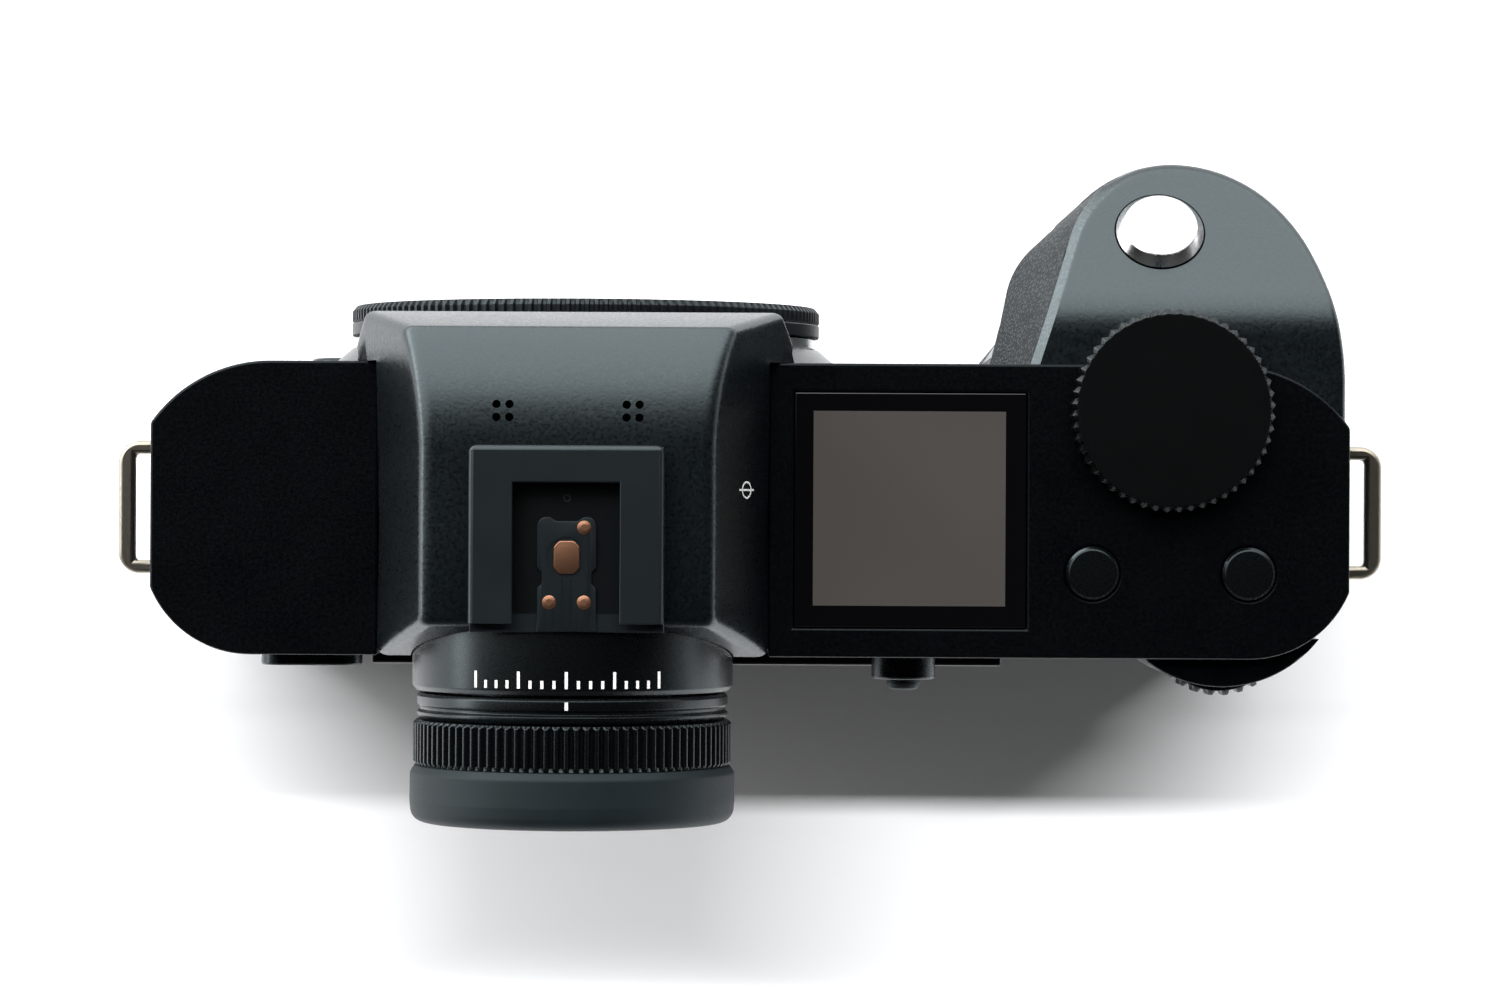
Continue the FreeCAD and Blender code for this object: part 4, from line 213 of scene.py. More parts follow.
# %% Anodised aluminium, moulded plastic and rubber
def even_black(name, dark, pale, roughness, specular, grain_mm, height_mm, strength=0.35):
    """A black surface with its own grain."""
    material, tree, shader, coords = finish(
        name, dark, {"Specular IOR Level": specular, "Specular Tint": BLACK_SHEEN}
    )
    spread = (roughness - 0.04, roughness + 0.05)
    grain(tree, shader, coords, grain_mm, height_mm, strength, (dark, pale), spread)
    return material


anodised = even_black("anodised_aluminium", "#020303", "#040506", 0.28, 0.5, 0.16, 0.01)
dial_black = even_black("bead_blasted_anodised_aluminium", "#010101", "#030303", 0.32, 0.4, 0.2, 0.02)
shoe_black = even_black("anodised_shoe_alloy", "#0b0e10", "#111518", 0.36, 0.6, 0.2, 0.02)
moulded = even_black("moulded_polycarbonate", "#070809", "#0d0e10", 0.42, 0.45, 0.22, 0.015)
rubber = even_black("moulded_rubber", "#0a0f11", "#11171a", 0.6, 0.4, 0.3, 0.03)
blackened = even_black("blackened_metal", "#0a0a0b", "#121213", 0.6, 0.3, 0.3, 0.02)
battery_shell = even_black("battery_polycarbonate", "#2a2b2e", "#36373a", 0.5, 0.4, 0.25, 0.02)

# %% [markdown]
# The shoe's frame is a dark grey, and its sunken floor is coloured almost black as painted shade for the
# slot. Three comparisons on the object's own coordinates find the floor: below the lips, ahead of the ramp,
# between the walls.

# %% The shoe's floor, with painted shade
def shade_painted_where(material, tests, colour):
    """Another base colour, here painted shade, where every test (axis letter, comparison, limit in mm) holds.
    """
    tree = material.node_tree
    shader = next(item for item in tree.nodes if item.bl_idname == "ShaderNodeBsdfPrincipled")
    coords = next(item for item in tree.nodes if item.bl_idname == "ShaderNodeTexCoord").outputs["Object"]
    parts = add(tree, "SeparateXYZ", links={"Vector": coords})
    inside = product(tree, [
        add(tree, "Math", {"operation": comparison, 1: limit * MM}, {0: parts.outputs[letter]}).outputs[0]
        for letter, comparison, limit in tests
    ])
    before = shader.inputs["Base Color"].links[0].from_socket
    mixed = add(tree, "Mix", {"data_type": "RGBA", 7: linear(colour)}, {0: inside, 6: before})
    tree.links.new(mixed.outputs[2], shader.inputs["Base Color"])
    return material


# The shoe's sunken floor is coloured almost black as painted shade for the slot between the lips.
shade_painted_where(
    shoe_black,
    [
        ("Z", "LESS_THAN", 104.05), ("Y", "LESS_THAN", 13.5),
        ("X", "LESS_THAN", 9.4), ("X", "GREATER_THAN", -9.4),
    ],
    "#010101",
)

# %% [markdown]
# Bare metal shows how it was worked. The strap lugs are steel, blasted and then brushed along their
# length. The lens mount is turned brass with satin chrome, so its fine lines run round the optical axis,
# and a pattern that depends only on the distance from that axis draws them.

# %% Bare metals
OPTICAL_AXIS = 45 * MM
EYE_AXIS = 84.2 * MM


def bare_metal(name, colour, roughness, grain_mm, height_mm, stretch=(1, 1, 1), strength=0.4):
    """A metal whose grain is stretched along one axis by brushing or left even by blasting."""
    material, tree, shader, coords = finish(name, colour, {"Metallic": 1.0})
    drawn = add(tree, "Mapping", {"Scale": stretch}, {"Vector": coords})
    spread = (roughness - 0.06, roughness + 0.08)
    grain(tree, shader, drawn.outputs[0], grain_mm, height_mm, strength, None, spread)
    return material


def turned_metal(name, colour, roughness, centre, along, line_mm, strength=0.25, metallic=1.0):
    """A metal with a lathe's fine rings: the height is a noise of the distance from the axis."""
    material, tree, shader, coords = finish(name, colour, {"Metallic": metallic})
    place = add(tree, "Mapping", {"Location": [-c for c in centre]}, {"Vector": coords})
    flat = [1, 1, 1]
    flat["xyz".index(along)] = 0
    across = add(tree, "VectorMath", {"operation": "MULTIPLY", 1: flat}, {0: place.outputs[0]})
    radius = add(tree, "VectorMath", {"operation": "LENGTH"}, {0: across.outputs[0]})
    rings = add(
        tree, "TexNoise", {"noise_dimensions": "1D", "Scale": 1 / (line_mm * MM), "Detail": 3},
        {"W": radius.outputs["Value"]},
    )
    raised(tree, shader, rings.outputs["Fac"], strength, 0.02)
    roughened(tree, shader, rings.outputs["Fac"], roughness - 0.05, roughness + 0.06)
    return material


lug_steel = bare_metal("blasted_stainless_steel", "#a29c8f", 0.34, 0.15, 0.02, (1, 0.25, 1))
cast_alloy = bare_metal("cast_aluminium", "#8c8d8e", 0.5, 0.5, 0.05)
dark_screw = bare_metal("blackened_steel", "#2c2c2d", 0.4, 0.3, 0.02)
mount_chrome = turned_metal("satin_chrome_on_brass", "#c9c9c6", 0.22, (0, 0, OPTICAL_AXIS), "y", 0.08)
bush_steel = turned_metal("turned_stainless_steel", "#a9a9a8", 0.3, (0, 0, 0), "z", 0.12)
contact_copper = bare_metal("copper_alloy", "#c08d70", 0.42, 0.25, 0.02)
main_copper = turned_metal("turned_copper_alloy", "#c08d70", 0.38, (0, 6.85 * MM, 0), "z", 0.3, 0.5)
gold_pins = bare_metal("gold_plated_brass", "#d9b35a", 0.25, 0.2, 0.01)
button_silver = bare_metal("polished_aluminium", "#e4e4e6", 0.16, 0.4, 0.005, strength=0.15)

# %% [markdown]
# The two displays are black glass with a slightly paler picture area behind it. The glass is a smooth
# dark surface, and a mask on the object's own coordinates marks the picture area, with the thin
# dark border that a liquid crystal panel has round it.


# %% Glass, screens and print
def screen(name, area, colours, glass="#040405", roughness=0.07):
    """Black glass with a picture area: area is (low, high) along two axes, given as their letters."""
    material, tree, shader, coords = finish(name, glass, {"Specular IOR Level": 0.5, "Coat Weight": 0.3})
    shader.inputs["Coat Roughness"].default_value = 0.04
    parts = add(tree, "SeparateXYZ", links={"Vector": coords})
    inside = product(tree, [
        add(
            tree, "Math",
            {"operation": "COMPARE", 1: (low + high) / 2 * MM, 2: (high - low) / 2 * MM},
            {0: parts.outputs[letter]},
        ).outputs[0]
        for letter, (low, high) in area.items()
    ])
    haze = add(tree, "TexNoise", {"Scale": 1 / (14 * MM), "Detail": 0}, {"Vector": coords})
    tone = toned(tree, haze.outputs["Fac"], 0.3, 0.7, colours)
    mixed = add(tree, "Mix", {"data_type": "RGBA", 6: linear(glass)}, {0: inside, 7: tone})
    tree.links.new(mixed.outputs[2], shader.inputs["Base Color"])
    roughened(tree, shader, inside, roughness, roughness + 0.12)
    return material


def clear_glass(name, colour, roughness=0.02):
    """Coated optical glass, a little rough where its coating varies."""
    material, tree, shader, coords = finish(
        name, colour, {"Transmission Weight": 0.85, "IOR": 1.52, "Specular IOR Level": 0.6}
    )
    film = add(tree, "TexNoise", {"Scale": 1 / (6 * MM), "Detail": 1}, {"Vector": coords})
    roughened(tree, shader, film.outputs["Fac"], roughness, roughness + 0.03)
    return material


status_screen = screen(
    "status_display_glass", {"X": (-52.6, -29.2), "Y": (-10.9, 12.8)}, ("#393634", "#3b3836")
)
back_screen = screen("touch_screen_glass", {"X": (-50.5, 23.5), "Z": (10, 56.8)}, ("#0c0d10", "#111216"))
eye_glass = clear_glass("coated_optical_glass", "#2b2733")
# The joystick cap is coloured a paler grey than the other rubber: painted light standing in for light on the
# back of the camera.
rubber_painted_lighter = even_black("rubber_painted_lighter", "#2a3033", "#343a3d", 0.6, 0.5, 0.4, 0.02)
white_fill = even_black("white_enamel_fill", "#c9cac8", "#dcdcda", 0.55, 0.3, 0.3, 0.01)
board_green = even_black("solder_resist_on_fibreglass", "#0d3d24", "#14512f", 0.4, 0.5, 0.6, 0.04)
sensor_glaze = even_black("sensor_filter_glass", "#141a2c", "#232a45", 0.12, 0.6, 1.0, 0.002)
print("finishes", len(bpy.data.materials))

# %% [markdown]
# Two kinds of new mesh are made below. A surface worked out on a grid comes first: its points are one
# array, its faces join neighbours in that array, and both are put into the mesh whole. Poles and
# seams leave doubled points, so these are merged and the faces turned outwards.


# %% Meshes from grids
def stand(name, data):
    """A new object with this mesh, lamp or lens, linked to the scene."""
    made = bpy.data.objects.new(name, data)
    bpy.context.scene.collection.objects.link(made)
    return made


def shade(mesh, sharp):
    """Smooth shading, with a hard edge where two faces meet at more than sharp degrees."""
    mesh.polygons.foreach_set("use_smooth", np.ones(len(mesh.polygons), bool))
    mesh.set_sharp_from_angle(angle=math.radians(sharp))


def place_mesh(name, points, faces, material, body, nodes=(), sharp=32, merge=1e-7):
    """Points in metres and faces as a mesh, closed at its doubles, facing outwards, riding on a body."""
    mesh = bpy.data.meshes.new(name)
    mesh.from_pydata(np.asarray(points).reshape(-1, 3), [], faces)
    work = bmesh.new()
    work.from_mesh(mesh)
    bmesh.ops.remove_doubles(work, verts=work.verts, dist=merge)
    bmesh.ops.dissolve_degenerate(work, edges=work.edges, dist=merge)
    bmesh.ops.recalc_face_normals(work, faces=work.faces)
    work.to_mesh(mesh)
    work.free()
    shade(mesh, sharp)
    mesh.materials.append(material)
    piece = stand(name, mesh)
    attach(piece, body)
    if nodes:
        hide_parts(*nodes)
    print(name, len(mesh.polygons), "faces")
    return piece


def grid_faces(rows, columns, wrap_rows=True, wrap_columns=True):
    """Quads between neighbours of a rows by columns grid, as index arrays."""
    i = np.arange(rows if wrap_rows else rows - 1)[:, None]
    j = np.arange(columns if wrap_columns else columns - 1)[None, :]
    after_i = (i + 1) % rows
    after_j = (j + 1) % columns
    corners = np.broadcast_arrays(
        i * columns + j, after_i * columns + j, after_i * columns + after_j, i * columns + after_j,
    )
    return np.stack(corners, -1).reshape(-1, 4).tolist()


def rounded(corners, steps=5):
    """A closed outline with its corners rounded.

    Corners are (a, b, radius). Each becomes an arc about the centre that lies radius / sin(half the
    corner's angle) along its bisector, and the arc's points turn evenly between its two tangent points.
    """
    corners = np.array(corners, float)
    points = corners[:, :2]
    radii = np.maximum(corners[:, 2:], 1e-4)
    back = np.roll(points, 1, 0) - points
    ahead = np.roll(points, -1, 0) - points
    back /= np.linalg.norm(back, axis=1, keepdims=True)
    ahead /= np.linalg.norm(ahead, axis=1, keepdims=True)
    half = np.arccos(np.clip((back * ahead).sum(1, keepdims=True), -0.999999, 0.999999)) / 2
    middle = back + ahead
    middle /= np.linalg.norm(middle, axis=1, keepdims=True)
    centres = points + middle * radii / np.sin(half)
    first = points + back * radii / np.tan(half) - centres
    last = points + ahead * radii / np.tan(half) - centres
    turn = np.pi - 2 * half
    share = np.linspace(0, 1, steps + 1)
    arcs = (
        np.sin((1 - share)[None, :, None] * turn[:, None]) * first[:, None]
        + np.sin(share[None, :, None] * turn[:, None]) * last[:, None]
    ) / np.sin(turn)[:, None]
    return (centres[:, None] + arcs).reshape(-1, 2)


def turned(name, outline, centre, along, material, body, nodes=(), steps=160, wave=None, sharp=32):
    """A closed outline of (radius, height) in mm carried round an axis along x, y or z through centre.

    The point at angle t is the axis point at that height plus radius times (cos t, sin t) across it.
    wave(radius, height, angle) in mm is added to the radius, which makes ribs, teeth and threads.
    """
    outline = np.asarray(outline, float)
    angle = np.linspace(0, 2 * np.pi, steps, endpoint=False)[None, :]
    radius = outline[:, :1] + 0 * angle
    height = outline[:, 1:] + 0 * angle
    if wave is not None:
        radius = np.maximum(radius + wave(radius, height, angle), 0)
    first = radius * np.cos(angle)
    second = radius * np.sin(angle)
    order = {"z": (first, second, height), "y": (first, height, second), "x": (height, first, second)}[along]
    points = np.stack(order, -1) + np.array(centre)
    return place_mesh(name, points * MM, grid_faces(*radius.shape), material, body, nodes, sharp)


def teeth(count, depth, low, high, ease=0.4, shape="ribs"):
    """Ribs round a rim between two heights: pointed teeth, or flat-topped ribs with rounded valleys."""
    def wave(radius, height, angle):
        turn = (angle * count / (2 * np.pi)) % 1
        if shape == "pointed":
            fall = np.abs(2 * turn - 1)
        else:
            fall = np.clip(0.5 - 1.1 * np.cos(2 * np.pi * turn), 0, 1)
        level = np.clip((height - low) / ease, 0, 1) * np.clip((high - height) / ease, 0, 1)
        return -depth * fall * level
    return wave


# %% [markdown]
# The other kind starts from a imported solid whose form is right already. Real machined and moulded pieces
# have no perfectly sharp edge, and it is the thin broken edge that catches the light. So a copy of the
# node's mesh is merged, its flat areas are joined to single faces, and a bevel breaks its edges.


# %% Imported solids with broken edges
def broken_edges(node, material, width, wide=None, segments=2, angle=28, keep=None, shape=None):
    """A copy of a node with its edges bevelled by width in mm.

    wide(edge centre in mm) gives another width or None, keep(point in mm) says which points stay, and
    shape(all points in mm) gives them back moved.
    """
    source = frame["nodes"][node].data
    count = len(source.vertices)
    points = np.zeros(count * 3)
    source.vertices.foreach_get("co", points)
    if shape:
        points = shape(points.reshape(-1, 3) / MM) * MM
    corners = np.zeros(len(source.loops), int)
    source.loops.foreach_get("vertex_index", corners)
    mesh = bpy.data.meshes.new(node + "_dressed")
    mesh.from_pydata(points.reshape(-1, 3), [], corners.reshape(-1, 3).tolist())
    work = bmesh.new()
    work.from_mesh(mesh)
    bmesh.ops.remove_doubles(work, verts=work.verts, dist=2e-6)
    bmesh.ops.dissolve_degenerate(work, edges=work.edges, dist=1e-6)
    if keep:
        lost = [point for point in work.verts if not keep(point.co / MM)]
        bmesh.ops.delete(work, geom=lost, context="VERTS")
    bmesh.ops.dissolve_limit(work, angle_limit=math.radians(0.4), verts=work.verts, edges=work.edges)
    share = work.edges.layers.float.new("bevel_weight_edge")
    widest = width
    for edge in work.edges:
        if len(edge.link_faces) != 2 or edge.calc_face_angle(0) < math.radians(angle):
            continue
        middle = (edge.verts[0].co + edge.verts[1].co) / 2 / MM
        special = wide(middle) if wide else None
        chosen = width if special is None else special
        widest = max(widest, chosen)
        edge[share] = chosen
    for edge in work.edges:
        edge[share] = edge[share] / widest
    work.to_mesh(mesh)
    work.free()
    shade(mesh, angle)
    mesh.materials.append(material)
    piece = stand(node + "_dressed", mesh)
    bevel = piece.modifiers.new("broken_edge", "BEVEL")
    bevel.limit_method = "WEIGHT"
    bevel.width = widest * MM
    bevel.segments = segments
    bevel.use_clamp_overlap = False
    normals = piece.modifiers.new("even_normals", "WEIGHTED_NORMAL")
    normals.keep_sharp = True
    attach(piece, body_of_node[node])
    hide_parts(node)
    return piece


body_of_node = {
    node: body for body, members in frame["record"]["behaviour"]["bodies"].items() for node in members
}

# %% [markdown]
# The hump over the lens is the camera's face from above. Its side view is a closed path: up the rear
# slope, along the roof, over a long arc to the brow, down the leaning nose and back under. Its flanks lean
# in as they rise, more so towards the nose. The surface takes each point of the path, runs out along the
# roof to the ridge, turns over the ridge on a small curve, and runs down the flank to one inner point.

# %% The viewfinder hump
SHOULDER = 85.3
ROOF = 103
RIDGE_RADIUS = 1.5
PLATE_FRONT = -16.7
HALF_WIDTH = 23.8
FLANK_LEAN = 0.37
NOSE_HALF_WIDTH = 25.7
NOSE_LEAN = 0.464
NOSE_HEIGHT = 86
NOSE_FRONT = -22.8
ARC_START = -6
ARC_RADIUS = 25.6


def flank(y, z):
    """Half the hump's width: two straight leaning lines, blended from the arc's start to the nose."""
    height = np.where(y > PLATE_FRONT, np.maximum(z, SHOULDER), z)
    middle = HALF_WIDTH - FLANK_LEAN * (height - SHOULDER)
    nose = NOSE_HALF_WIDTH - NOSE_LEAN * (height - NOSE_HEIGHT)
    return middle + (nose - middle) * np.clip((ARC_START - y) / 17.8, 0, 1)


def hump():
    """The hump's closed surface, from its side path and its flanks."""
    turn = np.linspace(np.radians(90), np.radians(124.5), 50)
    arc = np.stack([ARC_START + ARC_RADIUS * np.cos(turn), ROOF - ARC_RADIUS + ARC_RADIUS * np.sin(turn)], -1)
    corners = [(19.1, 72, 0), (19.1, SHOULDER, 0.8), (15, ROOF, 1.2)]
    corners += [(y, z, 0) for y, z in arc[:-1]]
    corners += [(-20.5, 98.5, 0.9), (NOSE_FRONT, NOSE_HEIGHT, 0.9), (-16.62, 78.6, 0.4), (-16.62, 72, 0)]
    path = rounded(corners, 4)
    share = np.linspace(0, 1, 2, endpoint=False)[None, :, None]
    path = (path[:, None] * (1 - share) + np.roll(path, -1, 0)[:, None] * share).reshape(-1, 2)
    core = np.array([-4, 84.0])
    y, z = path.T
    width = flank(y, z)
    across = np.linspace(0, 1, 6)[None, :] * (width - RIDGE_RADIUS)[:, None]
    roof = np.stack([across, y[:, None] + 0 * across, z[:, None] + 0 * across], -1)
    reach = np.linalg.norm(path - core, axis=1)
    start = (RIDGE_RADIUS / reach)[:, None]
    share = start + (1 - start) * np.linspace(0, 1, 12)[None, :]
    down = path[:, None] + (core - path)[:, None] * share[..., None]
    side = np.stack([flank(down[..., 0], down[..., 1]), down[..., 0], down[..., 1]], -1)
    ridge = np.stack([width, y, z], -1)[:, None]
    t = np.linspace(0, 1, 7)[None, 1:-1, None]
    bend = roof[:, -1:] * (1 - t) ** 2 + 2 * ridge * t * (1 - t) + side[:, :1] * t ** 2
    half = np.concatenate([roof, bend, side], 1)
    mirrored = half[:, ::-1] * np.array([-1, 1, 1])
    points = np.concatenate([mirrored[:, :-1], half], 1)
    faces = grid_faces(len(points), points.shape[1], True, False)
    return place_mesh(
        "hump_shell", points * MM, faces, body_enamel, "camera", ["viewfinder_housing"], 30
    )


hump_piece = hump()

# %% [markdown]
# The eyepiece barrel sinks into the hump's rear slope with a fine gap round it, and two groups of four
# microphone holes lie in front of the shoe. Both are cut with plain cylinders. Two boxes take off what
# would stand over the shoulder plates, so that the nose flares out only in front of them.


# %% Cuts in the hump
def round_cutters(name, holes):
    """Cylinders and boxes as one mesh, from (centre, radius or three sides, length, axis) in mm.

    The axis is a letter, or an angle by which z is turned about x.
    """
    made = bmesh.new()
    for centre, radius, length, axis in holes:
        turn = {"z": (0, 0, 0), "y": (math.pi / 2, 0, 0), "x": (0, math.pi / 2, 0)}.get(axis, (axis, 0, 0))
        place = Matrix.Translation(Vector(centre) * MM) @ Euler(turn).to_matrix().to_4x4()
        if isinstance(radius, tuple):
            sides = Matrix.Diagonal((*[side * MM for side in radius], 1))
            bmesh.ops.create_cube(made, size=1, matrix=place @ sides)
            continue
        bmesh.ops.create_cone(
            made, cap_ends=True, segments=96 if radius > 5 else 24, radius1=radius * MM, radius2=radius * MM,
            depth=length * MM, matrix=place,
        )
    mesh = bpy.data.meshes.new(name)
    made.to_mesh(mesh)
    made.free()
    cutter = stand(name, mesh)
    return cutter


def cut(piece, cutter, sharp=30):
    """Take the cutter out of the piece for good, and remove the cutter."""
    modifier = piece.modifiers.new("cut", "BOOLEAN")
    modifier.object = cutter
    modifier.solver = "EXACT"
    bpy.context.view_layer.update()
    mesh = bpy.data.meshes.new_from_object(piece.evaluated_get(bpy.context.evaluated_depsgraph_get()))
    piece.modifiers.remove(modifier)
    old = piece.data
    piece.data = mesh
    bpy.data.meshes.remove(old)
    bpy.data.objects.remove(cutter)
    shade(mesh, sharp)
    return piece


MICROPHONE_PITCH = 1.53
holes = [
    ((side * 7.67 + i * MICROPHONE_PITCH / 2, -10.4 + j * MICROPHONE_PITCH / 2, 101), 0.5, 7, "z")
    for side in (-1, 1) for i in (-1, 1) for j in (-1, 1)
]
BARREL_START = 14.4
holes.append(((0, BARREL_START + 10, EYE_AXIS / MM), 19.68, 20, "y"))
holes += [((side * (HALF_WIDTH + 5), PLATE_FRONT + 20, 85), (10, 40, 40), 0, "z") for side in (-1, 1)]
cut(hump_piece, round_cutters("hump_cutters", holes))
print("hump", len(hump_piece.data.polygons), "faces after its cuts")

# %% [markdown]
# The dial is a thick disc with a row of pointed teeth, and the thumb wheel is a smaller one under the
# shoulder's lip. Both are turned outlines whose rim carries teeth that fade out at its edges.

# %% The dial and the thumb wheel
DIAL = (-72.6, -11.06)
DIAL_TEETH = 52
WHEEL_RIBS = 30
dial_outline = rounded([
    (0, 85.6, 0), (11.9, 85.6, 0.2), (12.35, 86.1, 0.2), (12.35, 89.6, 0.15), (11.7, 90.2, 0.12),
    (0, 90.2, 0),
])
# One more ring just inside the rim keeps the shading of the teeth off the flat top.
dial_outline = np.insert(dial_outline, -6, (11.3, 90.2), 0)
turned(
    "shoulder_dial", dial_outline, (*DIAL, 0), "z", dial_black, "top_dial", ["top_dial"],
    DIAL_TEETH * 10, teeth(DIAL_TEETH, 0.5, 85.7, 90.25, 0.25, "pointed"), 40,
)
wheel_outline = rounded([
    (0, 71.5, 0), (8.4, 71.5, 0.3), (9.1, 72.2, 0.4), (9.1, 76.8, 0.4), (8.4, 77.5, 0.3), (3.2, 77.5, 0.2),
    (2.6, 77.4, 0.1), (1.5, 77.4, 0.1), (1.5, 83.3, 0.1), (0, 83.3, 0),
])
turned(
    "thumb_wheel_ribbed", wheel_outline, (-79.4, 14.76, 0), "z", anodised, "thumb_wheel",
    ["thumb_wheel"], WHEEL_RIBS * 14, teeth(WHEEL_RIBS, 0.6, 71.6, 77.4, 0.6), 40,
)

# %% [markdown]
# The eyepiece is a stack of turned rings: a barrel with the eyesight scale, a ring with its index mark,
# a finely ribbed ring to turn, and the rubber cup. All share one axis, so they are outlines round it.

# %% The eyepiece rings
EYE = (0, 0, EYE_AXIS / MM)
RING_RIBS = 100
BARREL_RADIUS = 19.5
BAND_RADIUS = 18.9
barrel_outline = rounded([
    (13.2, 9, 0.2), (15, 9, 0.2), (15, 14.6, 0), (19.2, 14.6, 0.2), (19.5, 15.2, 0.3), (19.5, 22.6, 0.25),
    (19.0, 23.2, 0.2), (15, 23.2, 0), (15, 31.5, 0.2), (13.2, 31.5, 0.2),
])
turned(
    "eyepiece_sleeve", barrel_outline, EYE, "y", anodised, "camera", ["eyepiece_barrel"],
    240,
)
index_outline = rounded([
    (15.3, 23.5, 0), (18.6, 23.5, 0.15), (18.9, 23.9, 0.2), (18.9, 24.9, 0.15), (18.55, 25.2, 0.1),
    (18.55, 25.5, 0.1), (18.9, 25.8, 0.1), (18.9, 26.1, 0.1), (18.5, 26.6, 0.1), (15.3, 26.7, 0),
])
turned(
    "index_band", index_outline, EYE, "y", anodised, "diopter_rings", ["diopter_ring"],
    240,
)
knurl_outline = rounded([
    (15.3, 26.8, 0), (19.0, 26.8, 0.2), (19.4, 27.2, 0.2), (19.4, 31.8, 0.2), (19.0, 32.3, 0.2),
    (15.3, 32.3, 0),
])
turned(
    "ribbed_ring", knurl_outline, EYE, "y", anodised, "diopter_rings", ["diopter_ring"],
    RING_RIBS * 10, teeth(RING_RIBS, 0.65, 27.0, 32.1, 0.3), 45,
)
cup_outline = rounded([
    (15.3, 32.3, 0), (19.2, 32.3, 0.3), (19.75, 33.2, 0.8), (19.8, 36.5, 2), (19.55, 39.2, 1.7),
    (17.1, 39.2, 0.8), (16.0, 35.5, 2), (15.3, 34.2, 0.3),
], 9)
turned("eye_cup", cup_outline, EYE, "y", rubber, "diopter_rings", ["eyecup"], 160)


# %% [markdown]
# The eyesight scale is seventeen white lines on the barrel, every fourth one long, and one index line
# on the ring behind it. Each line is a thin patch that follows the curve a few hundredths proud of it.


# %% Index lines
def scale_lines(name, angles, spans, radius, width, body):
    """Patches on the eyepiece's rings: five points across each line, at an angle from the top.

    The point at angle t is the axis plus the radius times (sin t, cos t), lifted 0.04 mm.
    """
    fan = np.linspace(-0.5, 0.5, 5) * width / radius
    turn = np.radians(angles)[:, None, None, None] + fan[None, :, None, None]
    lift = np.array([radius - 0.1, radius + 0.04])[None, None, :, None]
    span = np.asarray(spans, float)[:, None, None, :]
    x = lift * np.sin(turn) + 0 * span
    z = EYE_AXIS / MM + lift * np.cos(turn) + 0 * span
    points = np.stack([x, span + 0 * x, z], -1)
    count = points.shape[0]
    index = np.arange(points[0].size // 3).reshape(5, 2, 2)
    one = []
    for k in range(4):
        one += [[index[k, 1, 0], index[k + 1, 1, 0], index[k + 1, 1, 1], index[k, 1, 1]]]
        one += [[index[k, 0, 0], index[k, 0, 1], index[k + 1, 0, 1], index[k + 1, 0, 0]]]
        one += [[index[k, 0, b], index[k, 1, b], index[k + 1, 1, b], index[k + 1, 0, b]] for b in (0, 1)]
    one += [[index[k, 0, 0], index[k, 1, 0], index[k, 1, 1], index[k, 0, 1]] for k in (0, 4)]
    one = np.array(one)
    faces = (one[None] + np.arange(count)[:, None, None] * index.size).reshape(-1, 4).tolist()
    return place_mesh(name, points * MM, faces, white_fill, body, (), 60)


SCALE_STEP = 4.22
steps = np.arange(-8, 9)
long_line = steps % 4 == 0
line_ends = np.stack([np.where(long_line, 20.35, 21.4), np.full(17, 22.35)], -1)
scale_lines("scale_marks", steps * SCALE_STEP, line_ends, BARREL_RADIUS, 0.36, "camera")
scale_lines("index_mark", np.array([0.0]), np.array([[23.95, 24.9]]), BAND_RADIUS, 0.4, "diopter_rings")

# %% [markdown]
# An engraved oval with a line through it shows where the sensor lies, so that a distance can be measured
# from it. It is filled with the same white as the scale and follows the leaning flank of the hump.


# %% The sensor-plane mark
def plane_mark(centre, half_wide, half_tall, stroke):
    """The sensor-plane mark on the right flank: a thin oval and the line through it that runs up the flank.

    Both are drawn in y and z and laid on the flank, 0.02 mm proud of it and sunk 0.1 mm into it.
    """
    angle = np.linspace(0, 2 * np.pi, 64, endpoint=False)
    oval = np.array(centre) + np.stack([half_wide * np.cos(angle), half_tall * np.sin(angle)], -1)
    outward = np.stack([np.cos(angle), np.sin(angle)], -1) * stroke / 2
    up = np.linspace(-1.7 * half_tall, 1.7 * half_tall, 24)
    middle = np.array(centre) + np.stack([0 * up, up], -1)
    across = np.broadcast_to([stroke / 2, 0], middle.shape)
    for name, line, side in (("plane_mark_oval", oval, outward), ("plane_mark_line", middle, across)):
        closed = name.endswith("oval")
        edges = [(line + side, -0.02), (line - side, -0.02), (line - side, 0.1), (line + side, 0.1)]
        rings = [np.column_stack([-(flank(edge[:, 0], edge[:, 1]) - depth), edge]) for edge, depth in edges]
        faces = grid_faces(4, len(line), True, closed)
        if not closed:
            faces += [[k * len(line) + end for k in range(4)] for end in (0, len(line) - 1)]
        place_mesh(name, np.array(rings) * MM, faces, white_fill, "camera", (), 60)


plane_mark((-1.2, 92.6), 0.95, 1.35, 0.22)

# %% [markdown]
# The lens mount is closed by a cap. Its rim has fine ribs for the fingers and its face is a shallow
# dish inside a raised border, so that it doesn't scratch when the camera lies on its front.

# %% The body cap
AXIS = (0, 0, OPTICAL_AXIS / MM)
CAP_RIBS = 160
cap_outline = rounded([
    (0, -22.7, 0), (30.2, -22.7, 0.1), (30.4, -23.0, 0.15), (30.4, -24.2, 0.2), (29.8, -24.9, 0.2),
    (27.6, -24.9, 0.2), (27.0, -24.3, 0.3), (0, -24.3, 0),
])
turned(
    "cap_face", cap_outline, AXIS, "y", moulded, "cap", ["body_cap"], CAP_RIBS * 6,
    teeth(CAP_RIBS, 0.5, -24.9, -22.75, 0.25), 45,
)

# %% [markdown]
# The release button is a small polished cone ring with a dished top, tilted with the slope of the grip.
# It is worked out upright and then turned with the grip's angle about the left-right axis.

# %% The shutter button
BUTTON_TILT = math.radians(31)
BUTTON = np.array([-71.8, -33.3, 84.6 - 10 * math.tan(BUTTON_TILT)])


